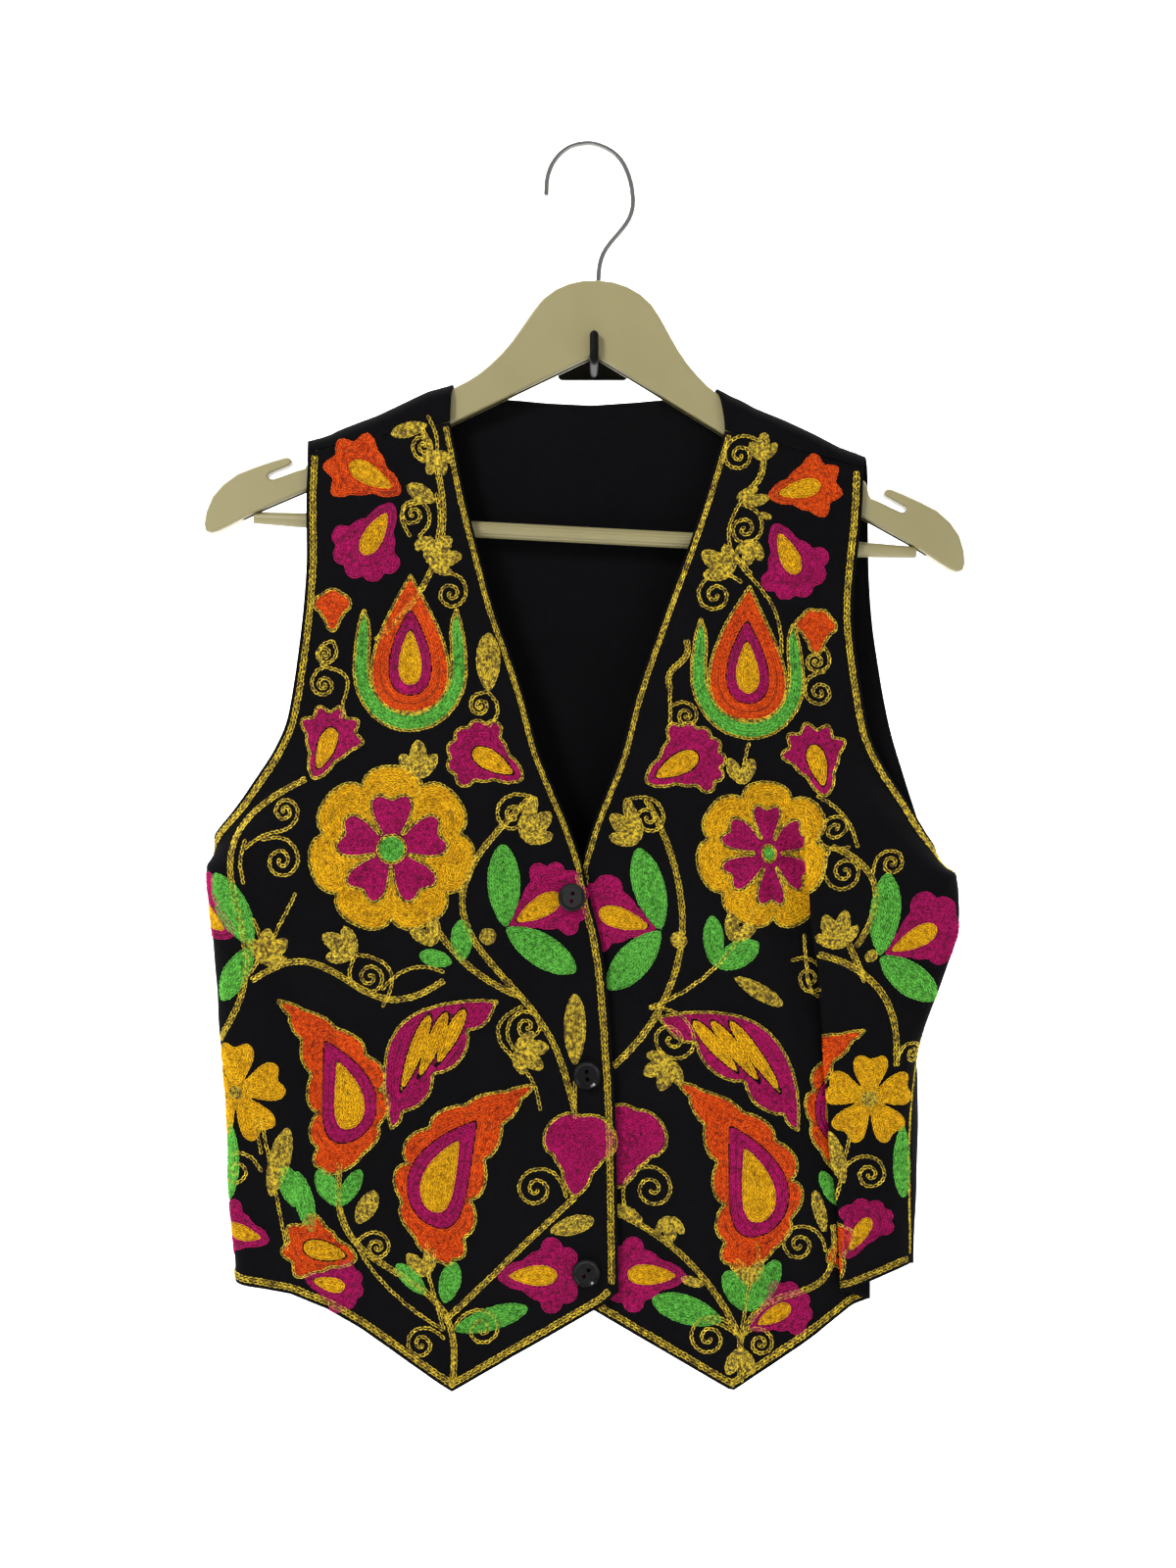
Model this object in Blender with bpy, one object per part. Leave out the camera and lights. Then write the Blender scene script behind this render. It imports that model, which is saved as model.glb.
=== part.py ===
"""Embroidered folk vest hung on a moulded hanger, carried by a wall hook.

The cloth pieces are shells of constant wall: a flat cut (inner edge, outer edge, hem)
is laid along horizontal sections, so widths along the cloth are true lengths.
Sizes are in millimetres; x is to the viewer's right, y away from the viewer, z up.
The origin is the middle of the wall plate's back face.
"""
import math

import bpy
import numpy as np

MM = 0.001

# ---- cloth -----------------------------------------------------------------
WALL = 1.3                    # thickness of every cloth piece
SEAM_GAP = 0.5                # clearance between two sewn edges
HANG_Y = -34.0                # y of the hanger's middle plane, in front of the wall
ROWS_SIDE = 13                # rows of stations from hem to underarm
ROWS_ARM = 15                 # rows of stations from underarm to shoulder
UNDERARM = 0.45               # row value where side seam and armhole meet
SECTION_STEPS = 320           # integration steps along one horizontal section

# inner edge of a front cut: height, distance from the centre-front line
INNER_EDGE = np.array([
    (-543.7, 0.0), (-512.6, 0.3), (-467.4, 1.1), (-434.6, 2.0), (-399.6, 4.2),
    (-365.7, 6.8), (-340.3, 10.7), (-320.5, 15.8), (-301.9, 19.8), (-276.4, 28.2),
    (-256.1, 36.7), (-233.5, 45.8), (-202.4, 54.2), (-176.4, 62.7), (-150.4, 71.8),
    (-119.4, 80.2), (-83.2, 89.2), (-55.5, 94.8), (-43.7, 97.2)])

# outer edge of a front cut: row value, distance from the centre-front line, height
OUTER_EDGE = np.array([
    (0.00, 241.8, -535.8), (0.06, 241.8, -504.1), (0.12, 241.8, -473.0),
    (0.18, 244.1, -442.0), (0.24, 249.2, -410.9), (0.30, 257.1, -379.8),
    (0.36, 266.1, -347.6), (0.42, 271.8, -316.0), (0.45, 272.9, -300.7),
    (0.48, 261.0, -296.2), (0.51, 250.9, -291.1), (0.54, 239.6, -281.5),
    (0.58, 224.9, -267.4), (0.62, 211.3, -249.9), (0.66, 199.4, -232.4),
    (0.70, 192.1, -216.0), (0.75, 188.1, -196.2), (0.80, 184.8, -173.6),
    (0.85, 181.9, -148.2), (0.90, 180.2, -119.9), (0.95, 180.4, -90.0),
    (1.00, 179.1, -61.2)])

# pointed hem of a front cut: distance from the centre-front line, height
HEM = np.array([
    (0.0, -544.8), (8.5, -552.1), (37.3, -568.5), (68.9, -586.0), (95.5, -600.2),
    (119.8, -584.4), (148.6, -564.0), (167.2, -552.7), (188.1, -545.4),
    (219.8, -540.3), (241.8, -535.8)])
HEM_POINT = 95.5 / 241.8      # share of the width where the hem comes to its point
HEM_REACH = 1.6               # how quickly the rows straighten above the hem

# wearer's right front (laps on top), by height: x and y of its centre-front line,
# swell (degrees), side turn (degrees) and the length of cloth it takes
RIGHT_FRONT = np.array([
    (-600.0, 14.6, -14.6, 3.0, 172.0, 33.0),
    (-535.0, 14.6, -14.6, 3.0, 172.0, 33.0),
    (-480.0, 14.6, -14.6, 3.5, 172.0, 27.0),
    (-440.0, 14.6, -14.8, 4.0, 172.0, 29.0),
    (-401.0, 14.6, -15.0, 4.5, 172.0, 34.0),
    (-366.0, 14.6, -15.2, 5.0, 172.0, 45.0),
    (-343.0, 14.6, -15.2, 5.0, 172.0, 51.0),
    (-316.0, 14.6, -15.0, 5.0, 172.0, 54.0),
    (-301.0, 14.6, -14.6, 5.0, 170.0, 54.0),
    (-295.5, 14.6, -14.4, 5.0, 124.0, 43.0),
    (-290.0, 14.6, -14.2, 5.0, 84.0, 38.0),
    (-281.0, 14.6, -14.0, 5.0, 46.0, 38.0),
    (-262.0, 14.6, -13.4, 4.5, 24.0, 42.0),
    (-232.0, 14.6, -12.2, 3.5, 14.0, 40.0),
    (-190.0, 14.6, -10.8, 2.0, 8.0, 40.0),
    (-120.0, 14.6, -9.6, 1.0, 4.0, 40.0),
    (-44.0, 14.6, -9.0, 0.0, 1.0, 40.0)])

# wearer's left front (lies underneath), by height: the same columns, then drop per
# unit of width, and the standing fold: its middle, angle (degrees), half width and
# the angle (degrees) at which the cloth recedes before it
LEFT_FRONT = np.array([
    (-600.0, -15.3, -10.2, 2.0, 46.0, 22.0, 0.015, 188.0, 172.0, 13.3, 22.0),
    (-541.0, -15.3, -10.2, 2.0, 46.0, 22.0, 0.015, 188.0, 172.0, 13.3, 22.0),
    (-496.0, -15.6, -10.2, 2.0, 46.0, 22.0, 0.017, 186.0, 172.0, 13.3, 22.0),
    (-467.0, -16.2, -10.2, 2.0, 48.0, 22.0, 0.018, 183.0, 172.0, 13.3, 22.0),
    (-422.0, -17.6, -10.2, 2.0, 62.0, 24.0, 0.020, 180.5, 172.0, 13.0, 22.0),
    (-400.0, -20.0, -10.3, 2.5, 84.0, 24.0, 0.026, 178.5, 172.0, 12.0, 22.0),
    (-367.0, -23.8, -10.5, 2.5, 112.0, 25.0, 0.032, 172.9, 172.0, 9.8, 21.0),
    (-352.0, -24.8, -10.6, 2.5, 128.0, 26.0, 0.033, 170.0, 168.0, 9.0, 21.0),
    (-334.0, -25.8, -10.7, 2.5, 144.0, 27.0, 0.033, 164.5, 150.0, 8.2, 23.0),
    (-307.0, -27.3, -10.7, 3.0, 166.0, 35.0, 0.024, 160.0, 105.0, 8.0, 29.0),
    (-301.0, -27.6, -10.7, 3.0, 168.0, 37.0, 0.022, 159.4, 98.0, 8.0, 30.0),
    (-295.5, -27.8, -10.6, 3.0, 120.0, 32.0, 0.022, 159.0, 92.0, 8.0, 30.0),
    (-290.0, -28.0, -10.6, 3.0, 82.0, 30.0, 0.022, 158.7, 86.0, 8.0, 30.0),
    (-281.0, -28.4, -10.5, 3.0, 50.0, 32.0, 0.024, 157.6, 76.0, 8.0, 29.0),
    (-266.0, -29.0, -10.4, 3.0, 36.0, 38.0, 0.027, 152.0, 42.0, 8.0, 20.0),
    (-247.0, -29.6, -10.2, 2.5, 30.0, 44.0, 0.031, 148.0, 14.0, 8.0, 9.0),
    (-224.0, -30.2, -9.8, 2.0, 24.0, 42.0, 0.035, 146.0, 3.0, 8.0, 2.0),
    (-196.0, -30.6, -9.2, 1.5, 18.0, 40.0, 0.040, 145.0, 0.0, 8.0, 0.0),
    (-156.0, -31.1, -8.8, 1.0, 10.0, 36.0, 0.055, 144.0, 0.0, 8.0, 0.0),
    (-111.0, -27.2, -8.7, 0.5, 4.0, 34.0, 0.053, 143.0, 0.0, 8.0, 0.0),
    (-44.0, -21.0, -8.7, 0.0, 1.0, 34.0, 0.050, 142.0, 0.0, 8.0, 0.0)])
FOLD_SHARES = (0.0, 0.55, 0.62, 0.68, 0.75, 1.0)
FOLD_TURN = 7.5               # length of each of the standing fold's two turns
RECEDE = 26.0                 # cloth that recedes before the standing fold
RECEDE_EASE = 10.0
HEM_LIFT = (9.0, 186.0, 50.0, -470.0, 70.0)  # side of the hem raised: by, from, over
LAP_CLEAR = 24.0              # soft folds stay away from the lapped edges by this much

# soft folds: distance and height at the top, the same at the bottom, half width, depth
# (negative depth is a trough); distances are along the cut
RIGHT_SOFT_FOLDS = np.array([
    (228.0, -300.0, 168.0, -548.0, 15.0, 3.0),
    (206.0, -332.0, 138.0, -470.0, 11.0, -2.2),
    (60.0, -392.0, 96.0, -592.0, 17.0, 2.6),
    (34.0, -300.0, 62.0, -470.0, 13.0, -1.8),
    (150.0, -214.0, 196.0, -318.0, 14.0, 2.0)])
LEFT_SOFT_FOLDS = np.array([
    (58.0, -380.0, 92.0, -592.0, 16.0, 2.4),
    (118.0, -330.0, 128.0, -500.0, 14.0, -2.0),
    (214.0, -420.0, 216.0, -540.0, 10.0, 1.8),
    (96.0, -214.0, 124.0, -330.0, 15.0, 2.0)])
BACK_SOFT_FOLDS = np.array([
    (-96.0, -250.0, -70.0, -548.0, 20.0, 3.2),
    (-20.0, -170.0, -34.0, -440.0, 22.0, -2.6),
    (62.0, -230.0, 44.0, -548.0, 18.0, 3.0),
    (124.0, -300.0, 112.0, -500.0, 16.0, -2.4)])

# ---- back ------------------------------------------------------------------
# middle depth of the back, by height: y of the two sides of the middle, y at centre
BACK_DEPTH = np.array([
    (-549.0, 10.5, 9.5, 10.5), (-460.0, 10.0, 10.5, 10.0), (-400.0, 13.0, 12.0, 13.0),
    (-340.0, 16.5, 14.0, 16.0), (-301.0, 17.0, 14.5, 16.5), (-240.0, 15.0, 13.5, 15.0),
    (-170.0, 12.0, 12.0, 12.0), (-100.0, 9.5, 10.5, 9.5), (-28.0, 8.4, 8.8, 8.4)])
# armhole edges of the back from underarm (0) to neckline row (1): value, x, y, z
BACK_ARM_RIGHT_SIDE = np.array([
    (0.04, -207.0, 13.4, -295.0), (0.10, -207.5, 13.2, -284.0),
    (0.20, -199.0, 12.2, -264.2), (0.32, -186.0, 11.0, -240.0),
    (0.44, -176.5, 10.4, -212.0), (0.56, -171.6, 10.0, -181.0),
    (0.68, -169.2, 9.4, -150.0), (0.80, -168.2, 8.9, -118.0),
    (0.90, -168.2, 8.5, -90.0), (1.00, -167.6, 8.4, -65.4)])
BACK_ARM_LEFT_SIDE = np.array([
    (0.04, 200.2, 12.8, -302.0), (0.10, 200.4, 13.4, -297.0),
    (0.20, 193.0, 12.6, -279.0), (0.32, 183.5, 11.0, -252.0),
    (0.44, 174.5, 10.4, -220.0), (0.56, 168.0, 10.0, -186.0),
    (0.68, 164.2, 9.4, -155.0), (0.80, 162.4, 8.9, -124.0),
    (0.90, 162.0, 8.5, -98.0), (1.00, 161.2, 8.4, -74.4)])
SIDE_CLEAR = 0.14             # share of the back's width with no soft folds at each side
# how far the back goes on in each front's direction before turning flat: height,
# wearer's right side, wearer's left side
BACK_REACH = np.array([
    (-548.0, 14.0, 8.0), (-515.0, 14.0, 14.0), (-495.0, 14.0, 22.0),
    (-467.0, 14.0, 31.0), (-440.0, 14.0, 35.0), (-420.0, 14.0, 34.0),
    (-400.0, 14.0, 24.0), (-372.0, 14.0, 14.0), (-300.0, 14.0, 12.0)])
BACK_HEM_SAG = 8.0            # drop of the back hem between the side seams
NECKLINE = np.array([         # back neckline: x, height
    (-81.0, -24.6), (-60.4, -27.2), (-46.0, -27.8), (-25.9, -29.5), (-0.6, -30.6),
    (25.9, -28.9), (39.1, -27.8), (54.6, -26.6), (71.0, -24.6)])
WRAP_R = 8.4                  # middle radius of the back where it turns over the arms
NECK_RISE = 0.45              # share of a right angle already turned at the neck corner
# top of the shoulder where the back turns over the hanger: x, height
SHOULDER_TOP = np.array([
    (-168.0, -56.0), (-165.9, -55.2), (-158.2, -52.4), (-148.5, -47.2),
    (-137.1, -42.6), (-125.6, -38.4), (-117.1, -34.4), (-105.7, -28.9),
    (-96.0, -24.3), (-84.0, -21.0), (-74.0, -17.6), (66.0, -20.5), (73.0, -23.0),
    (79.9, -26.8), (86.2, -29.5), (94.2, -34.0), (111.3, -40.9), (128.4, -48.9),
    (142.7, -56.4), (153.0, -60.3), (162.0, -65.4)])
# columns of the back: share of the width at hem level, share at neckline level
BACK_COLUMNS = np.array([
    (0.000, 0.000), (0.014, 0.030), (0.032, 0.075), (0.058, 0.125), (0.095, 0.180),
    (0.145, 0.235), (0.215, 0.282), (0.290, 0.335), (0.365, 0.395), (0.435, 0.455),
    (0.505, 0.515), (0.575, 0.572), (0.645, 0.628), (0.715, 0.682), (0.785, 0.712),
    (0.855, 0.765), (0.905, 0.820), (0.942, 0.875), (0.968, 0.925), (0.986, 0.970),
    (1.000, 1.000)])
NECK_FIRST = 6                # column at the wearer's right neck corner
NECK_LAST = 14                # column at the wearer's left neck corner
NECK_CORNER_X = (-81.0, 71.0)
ROWS_BACK_ARM = 9
ROWS_WRAP = 8

# ---- buttons ---------------------------------------------------------------
BUTTON_R = 8.1
BUTTON_THICK = 2.6
BUTTON_RIM = 1.0              # width of the raised rim
BUTTON_DISH = 0.7             # depth of the dish inside the rim
BUTTON_HOLE_R = 1.2
BUTTON_HOLE_PITCH = 4.4
BUTTON_SIDES = 28
BUTTON_LIFT = 0.35            # clearance over the cloth
# x, height, tilt about the vertical and about the x axis (degrees), turn of its holes
BUTTONS = (
    ("top", -12.6, -317.7, 17.0, -4.0, 12.0),
    ("middle", -3.5, -419.9, 0.0, 1.0, -6.0),
    ("bottom", -4.0, -533.5, 0.0, 0.0, 38.0))

# ---- hanger ----------------------------------------------------------------
HANGER_TOP = (3.1, 39.6)      # x and z of the top of the head
HANGER_TILT = math.radians(3.0)
HANGER_HALF = 5.5             # half its thickness
# rounding of the hanger's long edges: distance from the middle plane, inset
HANGER_EDGE = ((-5.5, 1.3), (-5.1, 0.5), (-4.2, 0.0), (4.2, 0.0), (5.1, 0.5), (5.5, 1.3))
# outline of one half from the top of the head round to the crotch: sideways, down
HANGER_OUTLINE = np.array([
    (0.0, 0.0), (9.0, 0.6), (16.9, 2.8), (24.6, 6.6), (31.6, 12.4), (36.2, 18.6),
    (40.0, 24.6), (44.2, 31.4), (48.5, 38.2), (54.2, 45.6), (60.5, 52.3), (66.6, 57.9),
    (73.1, 62.5), (80.6, 66.8), (84.5, 69.6), (95.0, 75.4), (116.0, 85.6),
    (136.0, 95.6), (152.0, 103.6), (158.6, 107.2), (161.0, 109.0), (162.4, 112.0),
    (163.2, 115.6), (164.6, 118.0), (168.4, 119.3), (176.0, 122.6), (182.4, 125.2),
    (184.4, 125.0), (185.6, 123.6), (184.9, 122.0), (182.0, 120.6), (173.6, 116.6),
    (172.2, 115.2), (172.4, 113.4), (174.0, 112.1), (176.2, 112.2), (183.2, 114.6),
    (193.5, 118.7), (203.4, 123.2), (211.3, 129.6), (217.0, 137.0), (220.2, 146.0),
    (221.0, 153.0), (220.0, 157.0), (216.6, 158.2), (212.6, 156.8), (206.0, 153.2),
    (199.0, 148.9), (189.5, 143.6), (163.2, 130.7), (120.0, 108.0), (76.5, 85.2),
    (40.0, 65.3), (14.0, 51.1), (3.0, 45.2), (1.2, 43.8)])
BAR_DOWN = 147.6              # trouser bar below the top of the head
BAR_R = 4.3
BAR_END_R = 3.4
BAR_HALF = 193.0
BAR_TAPER = 24.0              # length of each tapered end
BAR_SIDES = 16
BORE_R = 1.9                  # bore in the head for the hook's stem
BORE_DEEP = 13.0

# ---- steel hook ------------------------------------------------------------
WIRE_R = 1.5
WIRE_SIDES = 10
WIRE_STEPS = 44
STEM_DEEP = 12.0
STEEL_PATH = np.array([       # x, height, from the free tip down to the head
    (-27.2, 91.0), (-26.9, 98.4), (-24.4, 107.2), (-18.9, 114.6), (-10.9, 119.4),
    (-2.0, 120.6), (7.4, 117.8), (15.4, 112.1), (20.2, 103.5), (22.8, 93.5),
    (23.4, 85.3), (21.4, 77.3), (16.5, 69.9), (10.2, 62.6), (5.6, 55.6),
    (3.6, 48.0), (3.1, 40.2)])

# ---- wall hook -------------------------------------------------------------
ROD_R = 2.5
ROD_SIDES = 14
ROD_DROP = 3.4                # rod axis below the crotch of the hanger
ROD_FRONT = -9.3              # y of the rod's upturned end, from the hanger's middle plane
ROD_BEND = 4.4
ROD_TIP_Z = 9.4
PLATE_W = 42.0
PLATE_H = 22.0
PLATE_T = 3.0
PLATE_CORNER = 3.0


def smooth(table, at):
    """Cubic interpolation of a table's later columns over its first, without overshoot."""
    rows = table[np.argsort(table[:, 0])]
    xs = rows[:, 0]
    step = np.diff(xs)
    at = np.clip(np.asarray(at, dtype=float), xs[0], xs[-1])
    cell = np.clip(np.searchsorted(xs, at, side="right") - 1, 0, len(xs) - 2)
    t = (at - xs[cell]) / step[cell]
    out = []
    for column in rows.T[1:]:
        slope = np.diff(column) / step
        left, right = slope[:-1], slope[1:]
        same = left * right > 0
        mean = np.where(same, 2 * left * right / np.where(same, left + right, 1.0), 0.0)
        tangent = np.concatenate(([slope[0]], mean, [slope[-1]]))
        start, end = column[cell], column[cell + 1]
        pull_a, pull_b = tangent[cell] * step[cell], tangent[cell + 1] * step[cell]
        out.append((2 * t**3 - 3 * t**2 + 1) * start + (t**3 - 2 * t**2 + t) * pull_a
                   + (3 * t**2 - 2 * t**3) * end + (t**3 - t**2) * pull_b)
    return out


def ease(t):
    """Smooth step from 0 to 1."""
    t = np.clip(t, 0.0, 1.0)
    return t * t * (3.0 - 2.0 * t)


def soft_folds(table, a, z):
    """Outward push of the soft folds at distance a and height z of a cut."""
    push = np.zeros(np.broadcast(a, z).shape)
    for top_a, top_z, low_a, low_z, half, depth in table:
        along = (top_z - z) / (top_z - low_z)
        middle = top_a + (low_a - top_a) * along
        ends = ease(along / 0.35) * np.where(low_z < -530.0, 1.0, ease((1.0 - along) / 0.35))
        ends = np.where(along < 0.0, 0.0, ends)
        push += depth * ends * np.exp(-((a - middle) / half) ** 2)
    return push


def front_heading(columns, a, outer):
    """Direction of a front's horizontal section at distance a: 0 is flat, + turns back."""
    swell, turn, length = columns[2:5]
    heading = -np.radians(swell) * np.sin(2.0 * math.pi * np.clip(a / outer, 0.0, 1.0))
    heading = heading + np.radians(turn) * ease((a - (outer - length)) / length)
    if len(columns) > 5:
        middle, angle, half, recede = columns[6:10]
        bump = ease((half - np.abs(a - middle)) / FOLD_TURN)
        before = a - (middle - half)
        slope = ease((before + RECEDE + RECEDE_EASE) / RECEDE_EASE) * ease(-before / RECEDE_EASE)
        heading = heading - np.radians(angle) * bump + np.radians(recede) * slope
    return heading


def front_point(table, side, folds, a, z):
    """Points of a front cut hung up, with the heading of the cloth at each of them."""
    columns = smooth(table, z)
    outer = np.maximum(edge_at(z), a)
    wide = [column[..., None] for column in columns]
    steps = (np.arange(SECTION_STEPS) + 0.5) / SECTION_STEPS
    heading = front_heading(wide, a[..., None] * steps, outer[..., None])
    run = a / SECTION_STEPS
    x = columns[0] + side * np.cos(heading).sum(-1) * run
    y = columns[1] + np.sin(heading).sum(-1) * run
    last = front_heading(columns, a, outer)
    push = soft_folds(folds, a, z) * ease((outer - a) / 40.0) * ease((a - LAP_CLEAR) / 30.0)
    x = x + side * np.sin(last) * push
    y = y - np.cos(last) * push
    drop = 0.0
    if len(columns) > 5:
        rise, start, wide, top, tall = HEM_LIFT
        drop = columns[5] * a - rise * ease((a - start) / wide) * ease((top - z) / tall)
    return np.stack([x, y, z - drop], -1), last


def edge_at(z):
    """Distance of the outer edge from the centre-front line at height z."""
    return smooth(OUTER_EDGE[:, [2, 1]], z)[0]


def cut_rows(v, shares, table=None):
    """Distances and heights of a front cut at row values v and column shares."""
    outer_a, outer_z = smooth(OUTER_EDGE, v)
    inner_z = np.interp(v, [0.0, UNDERARM, 1.0],
                        [INNER_EDGE[0, 0], -301.9, INNER_EDGE[-1, 0]])
    inner_a = smooth(INNER_EDGE, inner_z)[0]
    if table is None:
        a = inner_a[:, None] + (outer_a - inner_a)[:, None] * shares
    else:
        middle, _, half = smooth(table, 0.35 * inner_z + 0.65 * outer_z)[6:9]
        turned = np.minimum(FOLD_TURN, half)
        knots = np.stack([inner_a, middle - half, middle - half + turned,
                          middle + half - turned, middle + half, outer_a], 1)
        a = np.stack([np.interp(shares, FOLD_SHARES, row) for row in knots])
    across = (a - inner_a[:, None]) / (outer_a - inner_a)[:, None]
    z = inner_z[:, None] + (outer_z - inner_z)[:, None] * across
    hem_z = np.interp(a[0], HEM[:, 0], HEM[:, 1])
    reach = np.clip(1.0 - v / UNDERARM, 0.0, 1.0) ** HEM_REACH
    return a, z + reach[:, None] * (hem_z - z[0])[None, :]


def row_values():
    """Row values of a front: hem to underarm, then underarm to shoulder."""
    low = np.linspace(0.0, UNDERARM, ROWS_SIDE)
    high = np.linspace(UNDERARM, 1.0, ROWS_ARM + 1)[1:]
    return np.concatenate([low, high])


def grid_cells(rows, columns):
    """Index quads of a full grid of rows and columns."""
    j, i = np.meshgrid(np.arange(rows - 1), np.arange(columns - 1), indexing="ij")
    corner = (j * columns + i).ravel()
    return np.stack([corner, corner + 1, corner + columns + 1, corner + columns], 1)


def new_object(name, verts, faces, finish):
    """Add one closed mesh object, in metres, with its own material."""
    mesh = bpy.data.meshes.new(name)
    mesh.from_pydata((np.asarray(verts) * MM).tolist(), [], [list(f) for f in faces])
    mesh.validate()
    obj = bpy.data.objects.new(name, mesh)
    bpy.context.scene.collection.objects.link(obj)
    colour, roughness, metallic = finish
    material = bpy.data.materials.new(name + "_mat")
    material.use_nodes = True
    shader = material.node_tree.nodes["Principled BSDF"]
    shader.inputs["Base Color"].default_value = (*colour, 1.0)
    shader.inputs["Roughness"].default_value = roughness
    shader.inputs["Metallic"].default_value = metallic
    mesh.materials.append(material)
    return obj


def shell(points, cells, outward):
    """Closed shell of the cloth's wall about a middle surface of quads."""
    points = points.reshape(-1, 3)
    quad = points[cells]
    normal = np.cross(quad[:, 2] - quad[:, 0], quad[:, 3] - quad[:, 1])
    if (normal @ np.asarray(outward)).sum() < 0:
        cells = cells[:, ::-1]
        normal = -normal
    at_vertex = np.zeros_like(points)
    for corner in range(4):
        np.add.at(at_vertex, cells[:, corner], normal)
    at_vertex /= np.linalg.norm(at_vertex, axis=1)[:, None]
    count = len(points)
    verts = np.concatenate([points + at_vertex * WALL / 2, points - at_vertex * WALL / 2])
    one, two = cells[:, [0, 1, 2]], cells[:, [0, 2, 3]]
    outer = np.concatenate([one, two])
    edges = np.concatenate([cells[:, [0, 1]], cells[:, [1, 2]], cells[:, [2, 3]], cells[:, [3, 0]]])
    keys = {tuple(edge) for edge in edges.tolist()}
    rim = np.array([edge for edge in keys if (edge[1], edge[0]) not in keys])
    a, b = rim[:, 0], rim[:, 1]
    walls = np.concatenate([np.stack([b, a, a + count], 1), np.stack([b, a + count, b + count], 1)])
    return verts, np.concatenate([outer, outer[:, ::-1] + count, walls])


def front(name, table, side, folds, shares, folded):
    """Build one front; returns its middle surface and headings for the sewn edges."""
    v = row_values()
    a, z = cut_rows(v, shares, table if folded else None)
    points, heading = front_point(table, side, folds, a, z)
    verts, faces = shell(points, grid_cells(*a.shape), (0.0, -1.0, 0.0))
    verts[:, 1] += HANG_Y
    new_object(name, verts, faces, ((0.012, 0.012, 0.015), 0.85, 0.0))
    return points, heading


def seam_edge(points, heading, side):
    """Points just past a front's side edge, with the direction the cloth is heading."""
    rows = ROWS_SIDE
    ahead = np.stack([side * np.cos(heading[:rows, -1]), np.sin(heading[:rows, -1]),
                      np.zeros(rows)], -1)
    return points[:rows, -1] + ahead * SEAM_GAP, ahead


def spline(controls, at):
    """Clamped cubic B-spline through stacked control points at arc-length shares."""
    count = controls.shape[-2]
    knots = np.concatenate([np.zeros(3), np.linspace(0, 1, count - 2), np.ones(3)])
    t = np.linspace(0.0, 1.0, 241)
    basis = [((t >= knots[i]) & (t < knots[i + 1])).astype(float) for i in range(len(knots) - 1)]
    basis[count - 1][-1] = 1.0
    for degree in range(1, 4):
        raised = []
        for i in range(len(basis) - 1):
            low, high = knots[i + degree] - knots[i], knots[i + degree + 1] - knots[i + 1]
            first = (t - knots[i]) / low * basis[i] if low > 0 else 0.0 * t
            second = (knots[i + degree + 1] - t) / high * basis[i + 1] if high > 0 else 0.0 * t
            raised.append(first + second)
        basis = raised
    curve = np.stack(basis, 1)[:, :count] @ controls
    length = np.concatenate([[0.0], np.cumsum(np.linalg.norm(np.diff(curve, axis=0), axis=1))])
    want = at * length[-1]
    return np.stack([np.interp(want, length, curve[:, k]) for k in range(curve.shape[1])], 1)


def back_row(start, start_dir, end, end_dir, shares, reach):
    """One horizontal row of the back between two edges, matching their directions."""
    low, middle, high = smooth(BACK_DEPTH, 0.5 * (start[2] + end[2]))
    span = end[0] - start[0]
    controls = np.array([
        start[:2], start[:2] + start_dir[:2] * reach[0],
        (start[0] + 0.16 * span, low), (start[0] + 0.34 * span, low),
        (start[0] + 0.50 * span, middle), (start[0] + 0.66 * span, high),
        (start[0] + 0.84 * span, high), end[:2] + end_dir[:2] * reach[1], end[:2]])
    return spline(controls, shares)


def shoulder_path(seam_point, start_x, start_lift, q):
    """Points of one column where the back turns over the hanger's arm to the front."""
    x = start_x + (seam_point[0] - start_x) * ease(q)
    top = np.interp(x, SHOULDER_TOP[:, 0], SHOULDER_TOP[:, 1])
    centre = top - WRAP_R - WALL / 2
    first = WRAP_R * start_lift
    last_centre = np.interp(seam_point[0], SHOULDER_TOP[:, 0], SHOULDER_TOP[:, 1]) \
        - WRAP_R - WALL / 2
    last = WRAP_R * math.pi + max(last_centre - seam_point[2], 0.0)
    length = first + (last - first) * q
    angle = np.minimum(length / WRAP_R, math.pi)
    y = WRAP_R * np.cos(angle)
    z = centre + WRAP_R * np.sin(angle) - np.maximum(length - WRAP_R * math.pi, 0.0)
    end = np.array([0.0, seam_point[1] - y[-1], seam_point[2] - z[-1]])
    return np.stack([x, y, z], -1) + end * ease(q)[:, None]


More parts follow.
